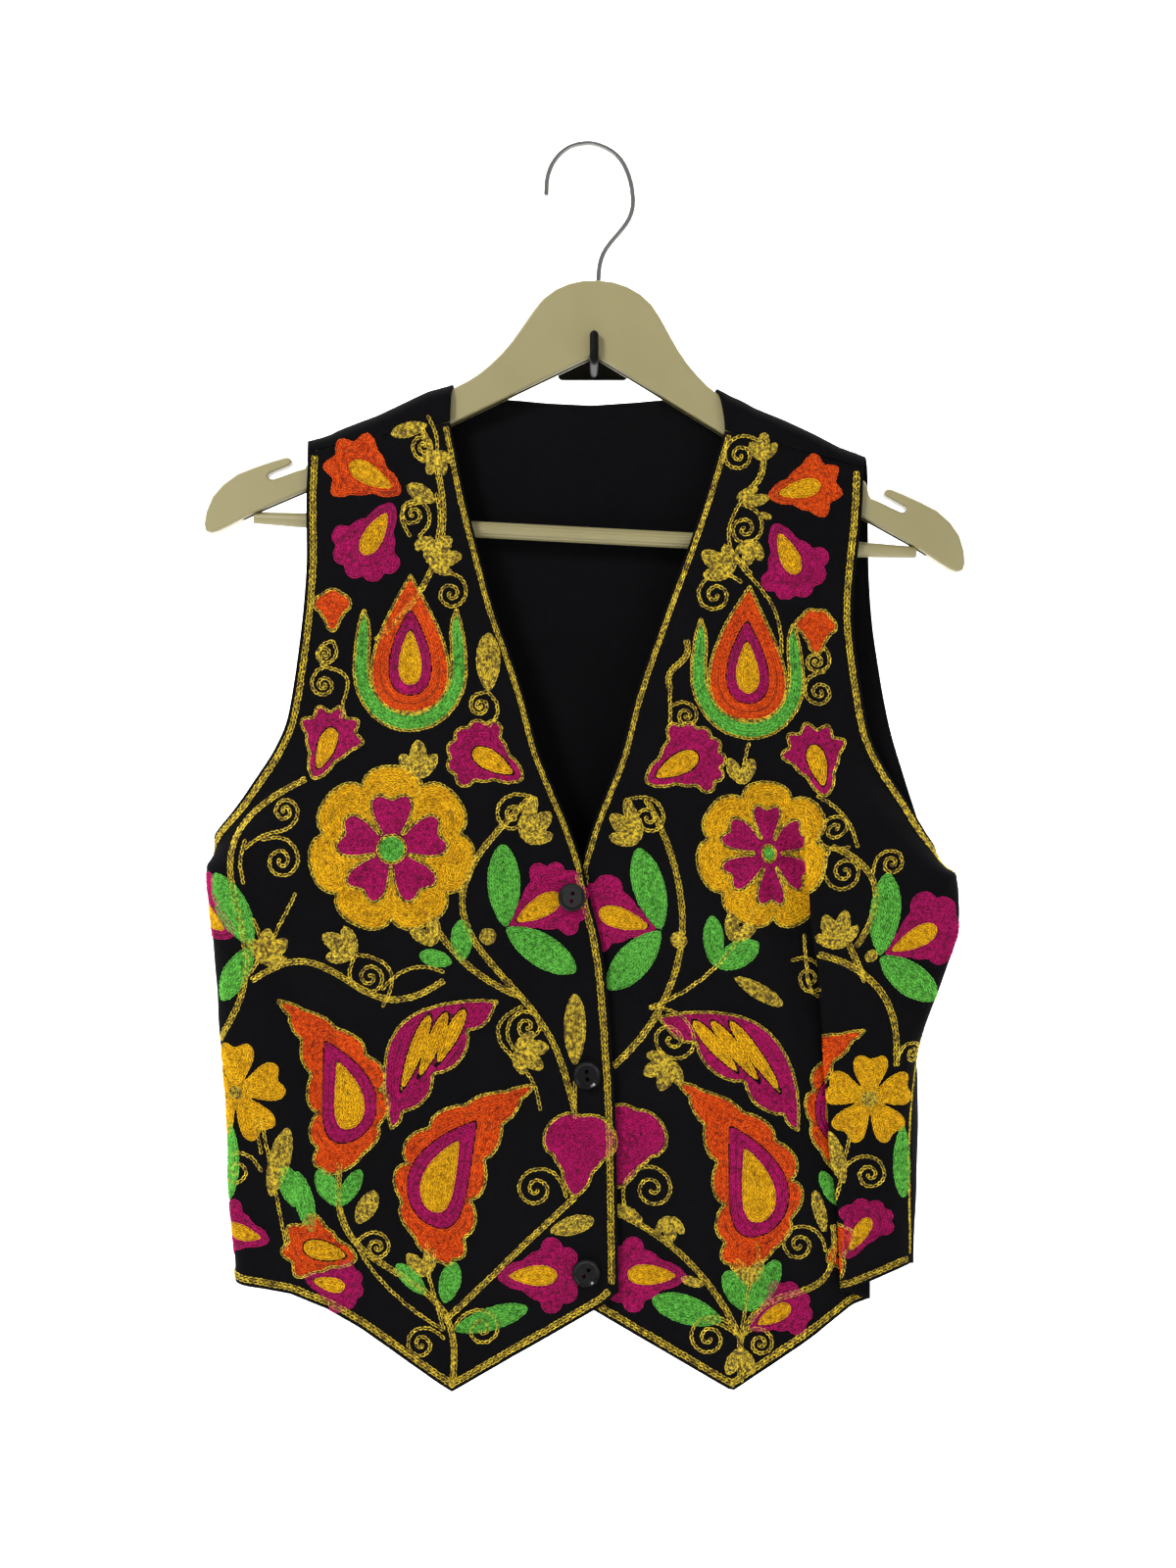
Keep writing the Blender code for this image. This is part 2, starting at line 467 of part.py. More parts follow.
def back(right_points, right_heading, left_points, left_heading):
    """Build the back, its neckline and the two straps turned over the hanger."""
    starts, start_dirs = seam_edge(right_points, right_heading, -1)
    ends, end_dirs = seam_edge(left_points, left_heading, 1)
    rows = []
    heights = []
    low_share, high_share = BACK_COLUMNS.T
    for j in range(ROWS_SIDE):
        reach = smooth(BACK_REACH, ends[j, 2])
        row = back_row(starts[j], start_dirs[j], ends[j], end_dirs[j], low_share, reach)
        sag = BACK_HEM_SAG * (1.0 - j / (ROWS_SIDE - 1)) ** 2
        z = starts[j, 2] + (ends[j, 2] - starts[j, 2]) * low_share
        z = z - sag * np.sin(math.pi * low_share) ** 0.5
        rows.append(row)
        heights.append(z)
    under = heights[-1]
    top_x = np.concatenate([
        np.interp(high_share[:NECK_FIRST + 1], (0.0, high_share[NECK_FIRST]),
                  (BACK_ARM_RIGHT_SIDE[-1, 1], NECK_CORNER_X[0])),
        np.interp(high_share[NECK_FIRST:NECK_LAST + 1],
                  high_share[[NECK_FIRST, NECK_LAST]], NECK_CORNER_X)[1:],
        np.interp(high_share[NECK_LAST:], (high_share[NECK_LAST], 1.0),
                  (NECK_CORNER_X[1], BACK_ARM_LEFT_SIDE[-1, 1]))[1:]])
    lift = np.zeros(len(top_x))
    lift[:NECK_FIRST + 1] = NECK_RISE * math.pi / 2 * ease(np.linspace(0, 1, NECK_FIRST + 1))
    lift[NECK_LAST:] = NECK_RISE * math.pi / 2 * ease(np.linspace(1, 0, len(top_x) - NECK_LAST))
    crown = np.interp(top_x, SHOULDER_TOP[:, 0], SHOULDER_TOP[:, 1]) - WRAP_R - WALL / 2
    top_z = crown + WRAP_R * np.sin(lift)
    neck = slice(NECK_FIRST, NECK_LAST + 1)
    corner_a, corner_b = top_z[NECK_FIRST], top_z[NECK_LAST]
    line = np.interp(top_x[neck], NECKLINE[:, 0], NECKLINE[:, 1])
    t = np.linspace(0.0, 1.0, NECK_LAST - NECK_FIRST + 1)
    near = (1.0 - ease(t / 0.22)), ease((t - 0.78) / 0.22)
    top_z[neck] = line + near[0] * (corner_a - line[0]) + near[1] * (corner_b - line[-1])
    top_y = np.full(len(top_x), WRAP_R) * np.cos(lift)
    middle = 0.5 + 0.5 * np.cos(math.pi * np.clip(np.abs(t - 0.5) / 0.5, 0, 1))
    top_y[neck] = WRAP_R * math.cos(lift[NECK_FIRST]) * (1 - middle) + 8.8 * middle
    for w in np.linspace(0.0, 1.0, ROWS_BACK_ARM + 1)[1:]:
        start = np.array([v[0] for v in smooth(BACK_ARM_RIGHT_SIDE, [w])])
        end = np.array([v[0] for v in smooth(BACK_ARM_LEFT_SIDE, [w])])
        share = low_share + (high_share - low_share) * w
        flat_dir = np.array([1.0, 0.0, 0.0])
        row = back_row(start, flat_dir, end, -flat_dir, share, (12.0, 12.0))
        edge = start[2] + (end[2] - start[2]) * share
        z = under + (top_z - under) * w
        pull = np.maximum(ease(1 - share / 0.24), ease((share - 0.76) / 0.24)) * (1 - w) ** 0.5
        z = z + (edge - z) * pull
        z[0], z[-1] = start[2], end[2]
        settle = ease((w - 0.55) / 0.45)
        row[:, 0] += (top_x - row[:, 0]) * settle
        row[:, 1] += (top_y - row[:, 1]) * settle
        rows.append(row)
        heights.append(z)
    rows[-1] = np.stack([top_x, top_y], 1)
    heights[-1] = top_z
    grid = np.concatenate([np.stack(rows), np.stack(heights)[..., None]], -1)
    push = soft_folds(BACK_SOFT_FOLDS, grid[..., 0], grid[..., 2])
    inside = ease(np.minimum(low_share, 1 - low_share) / SIDE_CLEAR)
    grid[..., 1] += push * inside[None, :]
    count = grid.shape[1]
    points = [grid.reshape(-1, 3)]
    cells = [grid_cells(grid.shape[0], count)]
    base = (grid.shape[0] - 1) * count
    total = grid.shape[0] * count
    q = np.linspace(0.0, 1.0, ROWS_WRAP + 1)
    strap_sides = ((0, NECK_FIRST, right_points, -1), (NECK_LAST, count - 1, left_points, 1))
    for first, last, front_points, order in strap_sides:
        number = last - first + 1
        share = (top_x[first:last + 1] - top_x[first]) / (top_x[last] - top_x[first])
        seam = front_points[-1][::order]
        run = (seam[:, 0] - seam[0, 0]) / (seam[-1, 0] - seam[0, 0])
        seam_at = np.stack([np.interp(share, run, seam[:, k]) for k in range(3)], 1)
        seam_at[:, 2] += SEAM_GAP + 0.1
        path = np.stack([shoulder_path(seam_at[i], top_x[first + i], lift[first + i], q)
                         for i in range(number)], 1)
        points.append(path[1:].reshape(-1, 3))
        index = np.concatenate([[base + first + np.arange(number)],
                                total + np.arange(ROWS_WRAP * number).reshape(-1, number)])
        cells.append(np.stack([index[:-1, :-1], index[:-1, 1:], index[1:, 1:], index[1:, :-1]],
                              -1).reshape(-1, 4))
        total += ROWS_WRAP * number
    verts, faces = shell(np.concatenate(points), np.concatenate(cells), (0.0, 1.0, 0.0))
    verts[:, 1] += HANG_Y
    new_object("back", verts, faces, ((0.012, 0.012, 0.015), 0.85, 0.0))
    return np.concatenate(points)


def tube(path, radii, sides):
    """Closed round bar along a path of points, with a radius at each of them."""
    path = np.asarray(path, dtype=float)
    along = np.gradient(path, axis=0)
    along /= np.linalg.norm(along, axis=1)[:, None]
    frame = np.cross(along[0], (0.0, 1.0, 0.0) if abs(along[0, 1]) < 0.9 else (1.0, 0.0, 0.0))
    across = np.zeros_like(path)
    for i, direction in enumerate(along):
        frame = frame - direction * (frame @ direction)
        frame /= np.linalg.norm(frame)
        across[i] = frame
    other = np.cross(along, across)
    turn = np.linspace(0.0, 2.0 * math.pi, sides, endpoint=False)
    rings = path[:, None] + np.asarray(radii)[:, None, None] * (
        across[:, None] * np.cos(turn)[None, :, None]
        + other[:, None] * np.sin(turn)[None, :, None])
    count = len(path)
    verts = rings.reshape(-1, 3)
    j, i = np.meshgrid(np.arange(count - 1), np.arange(sides), indexing="ij")
    a, b = j * sides + i, j * sides + (i + 1) % sides
    walls = np.stack([a, b, b + sides, a + sides], -1).reshape(-1, 4).tolist()
    low = list(range(sides))[::-1]
    high = list(range((count - 1) * sides, count * sides))
    return verts, walls + [low, high]


def rounded_ends(path, radius, steps):
    """Path and radii with a rounded end at the first point of the path."""
    path = np.asarray(path, dtype=float)
    direction = path[0] - path[1]
    direction /= np.linalg.norm(direction)
    angle = np.linspace(math.pi / 2 * 0.86, 0.0, steps, endpoint=False)
    cap = path[0] + direction * radius * np.sin(angle)[:, None]
    radii = np.concatenate([radius * np.cos(angle), np.full(len(path), radius)])
    return np.concatenate([cap, path]), radii


def rounded_path(controls, steps):
    """Smooth curve through control points, evenly spaced."""
    controls = np.asarray(controls, dtype=float)
    knots = np.concatenate([[0.0], np.cumsum(np.linalg.norm(np.diff(controls, axis=0), axis=1))])
    fine = np.linspace(0.0, knots[-1], 12 * len(controls))
    curve = np.stack(smooth(np.column_stack([knots, controls]), fine), 1)
    for _ in range(14):
        curve[1:-1] = 0.25 * curve[:-2] + 0.5 * curve[1:-1] + 0.25 * curve[2:]
    run = np.concatenate([[0.0], np.cumsum(np.linalg.norm(np.diff(curve, axis=0), axis=1))])
    at = np.linspace(0.0, run[-1], steps)
    return np.stack([np.interp(at, run, curve[:, k]) for k in range(3)], 1)


def hanger_place(u, v, y=0.0):
    """Turn hanger sizes (sideways, down from the head) into the tilted hanger's place."""
    u, v = np.broadcast_arrays(np.asarray(u, dtype=float), np.asarray(v, dtype=float))
    cos, sin = math.cos(HANGER_TILT), math.sin(HANGER_TILT)
    x = HANGER_TOP[0] + u * cos - v * sin
    z = HANGER_TOP[1] - u * sin - v * cos
    return np.stack([x, np.broadcast_to(HANG_Y + y, x.shape), z], -1)


def cut_with(obj, cutter, operation):
    """Apply one exact boolean and drop the second object."""
    modifier = obj.modifiers.new("join", "BOOLEAN")
    modifier.operation = operation
    modifier.solver = "EXACT"
    modifier.object = cutter
    bpy.context.view_layer.update()
    graph = bpy.context.evaluated_depsgraph_get()
    result = bpy.data.meshes.new_from_object(obj.evaluated_get(graph))
    obj.modifiers.clear()
    obj.data = result
    bpy.data.objects.remove(cutter, do_unlink=True)


def hanger():
    """Moulded hanger: arms with notches, head bored for the hook, and trouser bar."""
    half = HANGER_OUTLINE
    outline = np.concatenate([half, half[::-1][:-1] * (-1.0, 1.0)])
    before, after = np.roll(outline, 1, axis=0), np.roll(outline, -1, axis=0)
    edge_a, edge_b = outline - before, after - outline
    edge_a /= np.linalg.norm(edge_a, axis=1)[:, None]
    edge_b /= np.linalg.norm(edge_b, axis=1)[:, None]
    inward = np.stack([-(edge_a + edge_b)[:, 1], (edge_a + edge_b)[:, 0]], 1)
    inward /= np.linalg.norm(inward, axis=1)[:, None]
    rings = [hanger_place(*(outline + inward * inset).T, y) for y, inset in HANGER_EDGE]
    count = len(outline)
    j, i = np.meshgrid(np.arange(len(rings) - 1), np.arange(count), indexing="ij")
    a, b = j * count + i, j * count + (i + 1) % count
    walls = np.stack([a, b, b + count, a + count], -1).reshape(-1, 4).tolist()
    first = list(range(count))[::-1]
    last = list(range((len(rings) - 1) * count, len(rings) * count))
    plastic = ((0.377, 0.332, 0.155), 0.38, 0.0)
    body = new_object("hanger_body", np.concatenate(rings), walls + [first, last], plastic)
    reach = np.array([-BAR_HALF, -BAR_HALF + BAR_TAPER, 0.0, BAR_HALF - BAR_TAPER, BAR_HALF])
    radii = [BAR_END_R, BAR_R, BAR_R, BAR_R, BAR_END_R]
    bar = new_object("trouser_bar", *tube(hanger_place(reach, BAR_DOWN), radii, BAR_SIDES), plastic)
    cut_with(body, bar, "UNION")
    bore = hanger_place(np.zeros(2), np.array([-3.0, BORE_DEEP]))
    cut_with(body, new_object("bore", *tube(bore, [BORE_R, BORE_R], WIRE_SIDES), plastic),
             "DIFFERENCE")


def steel_hook():
    """Round wire hook with its stem in the hanger's head."""
    stem = hanger_place(np.zeros(2), np.array([3.0, STEM_DEEP]))
    path = np.array([(x, HANG_Y, z) for x, z in STEEL_PATH])
    path = rounded_path(np.concatenate([path, stem]), WIRE_STEPS)
    new_object("steel_hook", *tube(*rounded_ends(path, WIRE_R, 3), WIRE_SIDES),
               ((0.45, 0.44, 0.42), 0.25, 1.0))


def wall_hook():
    """Round rod through the hanger's crotch, upturned in front, on a plain plate."""
    crotch = hanger_place(0.0, HANGER_OUTLINE[-1, 1] + ROD_DROP)
    x, z = float(crotch[0]), float(crotch[2])
    front = HANG_Y + ROD_FRONT
    angle = np.linspace(0.0, math.pi / 2, 6)
    bend = [(x, front + ROD_BEND * (1 - math.cos(t)), z + ROD_BEND * (1 - math.sin(t)))
            for t in angle]
    path = [(x, front, ROD_TIP_Z - ROD_R)] + bend + [(x, -PLATE_T + 1.0, z)]
    black = ((0.015, 0.015, 0.016), 0.35, 0.0)
    rod = new_object("wall_hook", *tube(*rounded_ends(path, ROD_R, 4), ROD_SIDES), black)
    turn = np.linspace(0.0, math.pi / 2, 5)
    corner = np.stack([np.cos(turn), np.sin(turn)], 1) * PLATE_CORNER
    quarter = corner + (PLATE_W / 2 - PLATE_CORNER, PLATE_H / 2 - PLATE_CORNER)
    ring = np.concatenate([quarter, quarter[::-1] * (-1, 1), quarter * (-1, -1),
                           quarter[::-1] * (1, -1)])
    count = len(ring)
    verts = [(px, -PLATE_T, pz) for px, pz in ring] + [(px, 0.0, pz) for px, pz in ring]
    walls = [(i, (i + 1) % count, (i + 1) % count + count, i + count) for i in range(count)]
    faces = walls + [tuple(range(count))[::-1], tuple(range(count, 2 * count))]
    plate = new_object("wall_plate", verts, faces, black)
    cut_with(rod, plate, "UNION")


def button(name, x, z, yaw, pitch, spin, surface_y):
    """Two-hole button with a raised rim, lying on the cloth in front."""
    turn = np.linspace(0.0, 2.0 * math.pi, BUTTON_SIDES, endpoint=False)
    profile = [(0.0, BUTTON_R - 0.8), (0.8, BUTTON_R), (BUTTON_THICK - 0.6, BUTTON_R),
               (BUTTON_THICK, BUTTON_R - 0.5), (BUTTON_THICK, BUTTON_R - BUTTON_RIM),
               (BUTTON_THICK - BUTTON_DISH, BUTTON_R - BUTTON_RIM - 1.2)]
    rings = [[(r * math.cos(t), -h, r * math.sin(t)) for t in turn] for h, r in profile]
    count = BUTTON_SIDES
    verts = [vert for ring in rings for vert in ring]
    faces = [(j * count + i, j * count + (i + 1) % count, (j + 1) * count + (i + 1) % count,
              (j + 1) * count + i) for j in range(len(rings) - 1) for i in range(count)]
    faces += [tuple(range(count))[::-1], tuple(range((len(rings) - 1) * count, len(rings) * count))]
    black = ((0.012, 0.012, 0.013), 0.12, 0.0)
    disc = new_object("button_" + name, verts, faces, black)
    for side in (-1, 1):
        z_hole = side * BUTTON_HOLE_PITCH / 2
        path = [(0.0, 2.0, z_hole), (0.0, -BUTTON_THICK - 2.0, z_hole)]
        hole = new_object("hole", *tube(path, [BUTTON_HOLE_R] * 2, 10), black)
        cut_with(disc, hole, "DIFFERENCE")
    yaw, pitch, spin = (math.radians(angle) for angle in (yaw, pitch, spin))
    sin, cos = math.sin, math.cos
    spin_m = np.array([[cos(spin), 0, sin(spin)], [0, 1, 0], [-sin(spin), 0, cos(spin)]])
    pitch_m = np.array([[1, 0, 0], [0, cos(pitch), -sin(pitch)], [0, sin(pitch), cos(pitch)]])
    yaw_m = np.array([[cos(yaw), -sin(yaw), 0], [sin(yaw), cos(yaw), 0], [0, 0, 1]])
    points = np.array([vert.co for vert in disc.data.vertices]) / MM
    points = points @ (yaw_m @ pitch_m @ spin_m).T
    lift = (x, surface_y - WALL / 2 - BUTTON_LIFT - points[:, 1].max() + HANG_Y, z)
    disc.data.vertices.foreach_set("co", ((points + lift) * MM).ravel())
    disc.data.update()


def main():
    for old in list(bpy.data.objects):
        bpy.data.objects.remove(old, do_unlink=True)
    plain = np.concatenate([np.linspace(0.0, HEM_POINT, 7), np.linspace(HEM_POINT, 0.80, 6)[1:],
                            np.linspace(0.80, 1.0, 9)[1:]])
    point_share = 0.55 * 95.5 / (LEFT_FRONT[1, 7] - LEFT_FRONT[1, 9])
    folded = np.concatenate([np.linspace(0.0, point_share, 6), np.linspace(point_share, 0.55, 6)[1:],
                             np.linspace(0.55, 0.62, 6)[1:], np.linspace(0.62, 0.68, 3)[1:],
                             np.linspace(0.68, 0.75, 6)[1:], np.linspace(0.75, 1.0, 8)[1:]])
    right_points, right_heading = front("front_wearers_right", RIGHT_FRONT, -1,
                                        RIGHT_SOFT_FOLDS, plain, False)
    left_points, left_heading = front("front_wearers_left", LEFT_FRONT, 1,
                                      LEFT_SOFT_FOLDS, folded, True)
    back(right_points, right_heading, left_points, left_heading)
    for name, x, z, yaw, pitch, spin in BUTTONS:
        near = right_points[np.hypot(right_points[..., 0] - x, right_points[..., 2] - z) < 14.0]
        button(name, x, z, yaw, pitch, spin, near[:, 1].min())
    hanger()
    steel_hook()
    wall_hook()


main()
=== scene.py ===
"""Embroidered folk vest on a moulded hanger and wall hook.

The cloth is laid along horizontal sections by the same named sizes as its solid, so
a distance on the flat cut is a true length on the hung cloth. The embroidery is
planned on the flat cut and carried onto the hung cloth, chain link by chain link.
Sizes are in millimetres until a mesh is made; x is to the viewer's right, y away
from the viewer, z up.
"""
import logging
import math
from dataclasses import dataclass, field
from enum import Enum

import bpy
import numpy as np
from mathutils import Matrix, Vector

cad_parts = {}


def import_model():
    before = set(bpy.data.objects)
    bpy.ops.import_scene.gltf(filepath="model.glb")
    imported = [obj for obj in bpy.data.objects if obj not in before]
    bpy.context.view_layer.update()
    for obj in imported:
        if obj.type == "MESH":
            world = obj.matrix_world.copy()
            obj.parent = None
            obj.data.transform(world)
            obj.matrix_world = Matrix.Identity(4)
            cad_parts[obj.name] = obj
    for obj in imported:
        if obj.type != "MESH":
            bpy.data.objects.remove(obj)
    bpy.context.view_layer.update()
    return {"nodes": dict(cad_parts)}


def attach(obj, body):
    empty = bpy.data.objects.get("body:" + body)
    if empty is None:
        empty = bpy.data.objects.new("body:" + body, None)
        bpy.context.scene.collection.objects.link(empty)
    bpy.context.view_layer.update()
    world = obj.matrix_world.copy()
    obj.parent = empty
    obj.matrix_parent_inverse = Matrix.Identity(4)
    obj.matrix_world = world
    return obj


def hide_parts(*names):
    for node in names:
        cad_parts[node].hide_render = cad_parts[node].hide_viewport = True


log = logging.getLogger("vest")

MM = 0.001
WALL = 1.3                    # thickness of every cloth piece
SEAM_GAP = 0.5                # clearance between two sewn edges
HANG_Y = -34.0                # y of the hanger's middle plane
UNDERARM = 0.45               # row value where side seam and armhole meet

INNER_EDGE = np.array([
    (-543.7, 0.0), (-512.6, 0.3), (-467.4, 1.1), (-434.6, 2.0), (-399.6, 4.2),
    (-365.7, 6.8), (-340.3, 10.7), (-320.5, 15.8), (-301.9, 19.8), (-276.4, 28.2),
    (-256.1, 36.7), (-233.5, 45.8), (-202.4, 54.2), (-176.4, 62.7), (-150.4, 71.8),
    (-119.4, 80.2), (-83.2, 89.2), (-55.5, 94.8), (-43.7, 97.2)])
OUTER_EDGE = np.array([
    (0.00, 241.8, -535.8), (0.06, 241.8, -504.1), (0.12, 241.8, -473.0),
    (0.18, 244.1, -442.0), (0.24, 249.2, -410.9), (0.30, 257.1, -379.8),
    (0.36, 266.1, -347.6), (0.42, 271.8, -316.0), (0.45, 272.9, -300.7),
    (0.48, 261.0, -296.2), (0.51, 250.9, -291.1), (0.54, 239.6, -281.5),
    (0.58, 224.9, -267.4), (0.62, 211.3, -249.9), (0.66, 199.4, -232.4),
    (0.70, 192.1, -216.0), (0.75, 188.1, -196.2), (0.80, 184.8, -173.6),
    (0.85, 181.9, -148.2), (0.90, 180.2, -119.9), (0.95, 180.4, -90.0),
    (1.00, 179.1, -61.2)])
HEM = np.array([
    (0.0, -544.8), (8.5, -552.1), (37.3, -568.5), (68.9, -586.0), (95.5, -600.2),
    (119.8, -584.4), (148.6, -564.0), (167.2, -552.7), (188.1, -545.4),
    (219.8, -540.3), (241.8, -535.8)])
RIGHT_FRONT = np.array([
    (-600.0, 14.6, -14.6, 3.0, 172.0, 33.0),
    (-535.0, 14.6, -14.6, 3.0, 172.0, 33.0),
    (-480.0, 14.6, -14.6, 3.5, 172.0, 27.0),
    (-440.0, 14.6, -14.8, 4.0, 172.0, 29.0),
    (-401.0, 14.6, -15.0, 4.5, 172.0, 34.0),
    (-366.0, 14.6, -15.2, 5.0, 172.0, 45.0),
    (-343.0, 14.6, -15.2, 5.0, 172.0, 51.0),
    (-316.0, 14.6, -15.0, 5.0, 172.0, 54.0),
    (-301.0, 14.6, -14.6, 5.0, 170.0, 54.0),
    (-295.5, 14.6, -14.4, 5.0, 124.0, 43.0),
    (-290.0, 14.6, -14.2, 5.0, 84.0, 38.0),
    (-281.0, 14.6, -14.0, 5.0, 46.0, 38.0),
    (-262.0, 14.6, -13.4, 4.5, 24.0, 42.0),
    (-232.0, 14.6, -12.2, 3.5, 14.0, 40.0),
    (-190.0, 14.6, -10.8, 2.0, 8.0, 40.0),
    (-120.0, 14.6, -9.6, 1.0, 4.0, 40.0),
    (-44.0, 14.6, -9.0, 0.0, 1.0, 40.0)])
LEFT_FRONT = np.array([
    (-600.0, -15.3, -10.2, 2.0, 46.0, 22.0, 0.015, 188.0, 172.0, 13.3, 22.0),
    (-541.0, -15.3, -10.2, 2.0, 46.0, 22.0, 0.015, 188.0, 172.0, 13.3, 22.0),
    (-496.0, -15.6, -10.2, 2.0, 46.0, 22.0, 0.017, 186.0, 172.0, 13.3, 22.0),
    (-467.0, -16.2, -10.2, 2.0, 48.0, 22.0, 0.018, 183.0, 172.0, 13.3, 22.0),
    (-422.0, -17.6, -10.2, 2.0, 62.0, 24.0, 0.020, 180.5, 172.0, 13.0, 22.0),
    (-400.0, -20.0, -10.3, 2.5, 84.0, 24.0, 0.026, 178.5, 172.0, 12.0, 22.0),
    (-367.0, -23.8, -10.5, 2.5, 112.0, 25.0, 0.032, 172.9, 172.0, 9.8, 21.0),
    (-352.0, -24.8, -10.6, 2.5, 128.0, 26.0, 0.033, 170.0, 168.0, 9.0, 21.0),
    (-334.0, -25.8, -10.7, 2.5, 144.0, 27.0, 0.033, 164.5, 150.0, 8.2, 23.0),
    (-307.0, -27.3, -10.7, 3.0, 166.0, 35.0, 0.024, 160.0, 105.0, 8.0, 29.0),
    (-301.0, -27.6, -10.7, 3.0, 168.0, 37.0, 0.022, 159.4, 98.0, 8.0, 30.0),
    (-295.5, -27.8, -10.6, 3.0, 120.0, 32.0, 0.022, 159.0, 92.0, 8.0, 30.0),
    (-290.0, -28.0, -10.6, 3.0, 82.0, 30.0, 0.022, 158.7, 86.0, 8.0, 30.0),
    (-281.0, -28.4, -10.5, 3.0, 50.0, 32.0, 0.024, 157.6, 76.0, 8.0, 29.0),
    (-266.0, -29.0, -10.4, 3.0, 36.0, 38.0, 0.027, 152.0, 42.0, 8.0, 20.0),
    (-247.0, -29.6, -10.2, 2.5, 30.0, 44.0, 0.031, 148.0, 14.0, 8.0, 9.0),
    (-224.0, -30.2, -9.8, 2.0, 24.0, 42.0, 0.035, 146.0, 3.0, 8.0, 2.0),
    (-196.0, -30.6, -9.2, 1.5, 18.0, 40.0, 0.040, 145.0, 0.0, 8.0, 0.0),
    (-156.0, -31.1, -8.8, 1.0, 10.0, 36.0, 0.055, 144.0, 0.0, 8.0, 0.0),
    (-111.0, -27.2, -8.7, 0.5, 4.0, 34.0, 0.053, 143.0, 0.0, 8.0, 0.0),
    (-44.0, -21.0, -8.7, 0.0, 1.0, 34.0, 0.050, 142.0, 0.0, 8.0, 0.0)])
FOLD_SHARES = (0.0, 0.55, 0.62, 0.68, 0.75, 1.0)
FOLD_TURN = 7.5               # length of each of the standing fold's two turns
RECEDE = 26.0                 # cloth that recedes before the standing fold
RECEDE_EASE = 10.0
HEM_REACH = 1.6               # how quickly the rows straighten above the hem
HEM_LIFT = (9.0, 186.0, 50.0, -470.0, 70.0)  # side of the hem raised: by, from, over
LAP_CLEAR = 24.0              # soft folds stay away from the lapped edges by this much
RIGHT_SOFT_FOLDS = np.array([
    (228.0, -300.0, 168.0, -548.0, 15.0, 3.0),
    (206.0, -332.0, 138.0, -470.0, 11.0, -2.2),
    (60.0, -392.0, 96.0, -592.0, 17.0, 2.6),
    (34.0, -300.0, 62.0, -470.0, 13.0, -1.8),
    (150.0, -214.0, 196.0, -318.0, 14.0, 2.0)])
LEFT_SOFT_FOLDS = np.array([
    (58.0, -380.0, 92.0, -592.0, 16.0, 2.4),
    (118.0, -330.0, 128.0, -500.0, 14.0, -2.0),
    (214.0, -420.0, 216.0, -540.0, 10.0, 1.8),
    (96.0, -214.0, 124.0, -330.0, 15.0, 2.0)])
BACK_SOFT_FOLDS = np.array([
    (-96.0, -250.0, -70.0, -548.0, 20.0, 3.2),
    (-20.0, -170.0, -34.0, -440.0, 22.0, -2.6),
    (62.0, -230.0, 44.0, -548.0, 18.0, 3.0),
    (124.0, -300.0, 112.0, -500.0, 16.0, -2.4)])
BACK_DEPTH = np.array([
    (-549.0, 10.5, 9.5, 10.5), (-460.0, 10.0, 10.5, 10.0), (-400.0, 13.0, 12.0, 13.0),
    (-340.0, 16.5, 14.0, 16.0), (-301.0, 17.0, 14.5, 16.5), (-240.0, 15.0, 13.5, 15.0),
    (-170.0, 12.0, 12.0, 12.0), (-100.0, 9.5, 10.5, 9.5), (-28.0, 8.4, 8.8, 8.4)])
BACK_ARM_RIGHT_SIDE = np.array([
    (0.04, -207.0, 13.4, -295.0), (0.10, -207.5, 13.2, -284.0),
    (0.20, -199.0, 12.2, -264.2), (0.32, -186.0, 11.0, -240.0),
    (0.44, -176.5, 10.4, -212.0), (0.56, -171.6, 10.0, -181.0),
    (0.68, -169.2, 9.4, -150.0), (0.80, -168.2, 8.9, -118.0),
    (0.90, -168.2, 8.5, -90.0), (1.00, -167.6, 8.4, -65.4)])
BACK_ARM_LEFT_SIDE = np.array([
    (0.04, 200.2, 12.8, -302.0), (0.10, 200.4, 13.4, -297.0),
    (0.20, 193.0, 12.6, -279.0), (0.32, 183.5, 11.0, -252.0),
    (0.44, 174.5, 10.4, -220.0), (0.56, 168.0, 10.0, -186.0),
    (0.68, 164.2, 9.4, -155.0), (0.80, 162.4, 8.9, -124.0),
    (0.90, 162.0, 8.5, -98.0), (1.00, 161.2, 8.4, -74.4)])
SIDE_CLEAR = 0.14             # share of the back's width with no soft folds at each side
BACK_REACH = np.array([
    (-548.0, 14.0, 8.0), (-515.0, 14.0, 14.0), (-495.0, 14.0, 22.0),
    (-467.0, 14.0, 31.0), (-440.0, 14.0, 35.0), (-420.0, 14.0, 34.0),
    (-400.0, 14.0, 24.0), (-372.0, 14.0, 14.0), (-300.0, 14.0, 12.0)])
BACK_HEM_SAG = 8.0            # drop of the back hem between the side seams
NECKLINE = np.array([         # back neckline: x, height
    (-81.0, -24.6), (-60.4, -27.2), (-46.0, -27.8), (-25.9, -29.5), (-0.6, -30.6),
    (25.9, -28.9), (39.1, -27.8), (54.6, -26.6), (71.0, -24.6)])
WRAP_R = 8.4                  # middle radius of the back where it turns over the arms
NECK_RISE = 0.45              # share of a right angle already turned at the neck corner
SHOULDER_TOP = np.array([
    (-168.0, -56.0), (-165.9, -55.2), (-158.2, -52.4), (-148.5, -47.2),
    (-137.1, -42.6), (-125.6, -38.4), (-117.1, -34.4), (-105.7, -28.9),
    (-96.0, -24.3), (-84.0, -21.0), (-74.0, -17.6), (66.0, -20.5), (73.0, -23.0),
    (79.9, -26.8), (86.2, -29.5), (94.2, -34.0), (111.3, -40.9), (128.4, -48.9),
    (142.7, -56.4), (153.0, -60.3), (162.0, -65.4)])
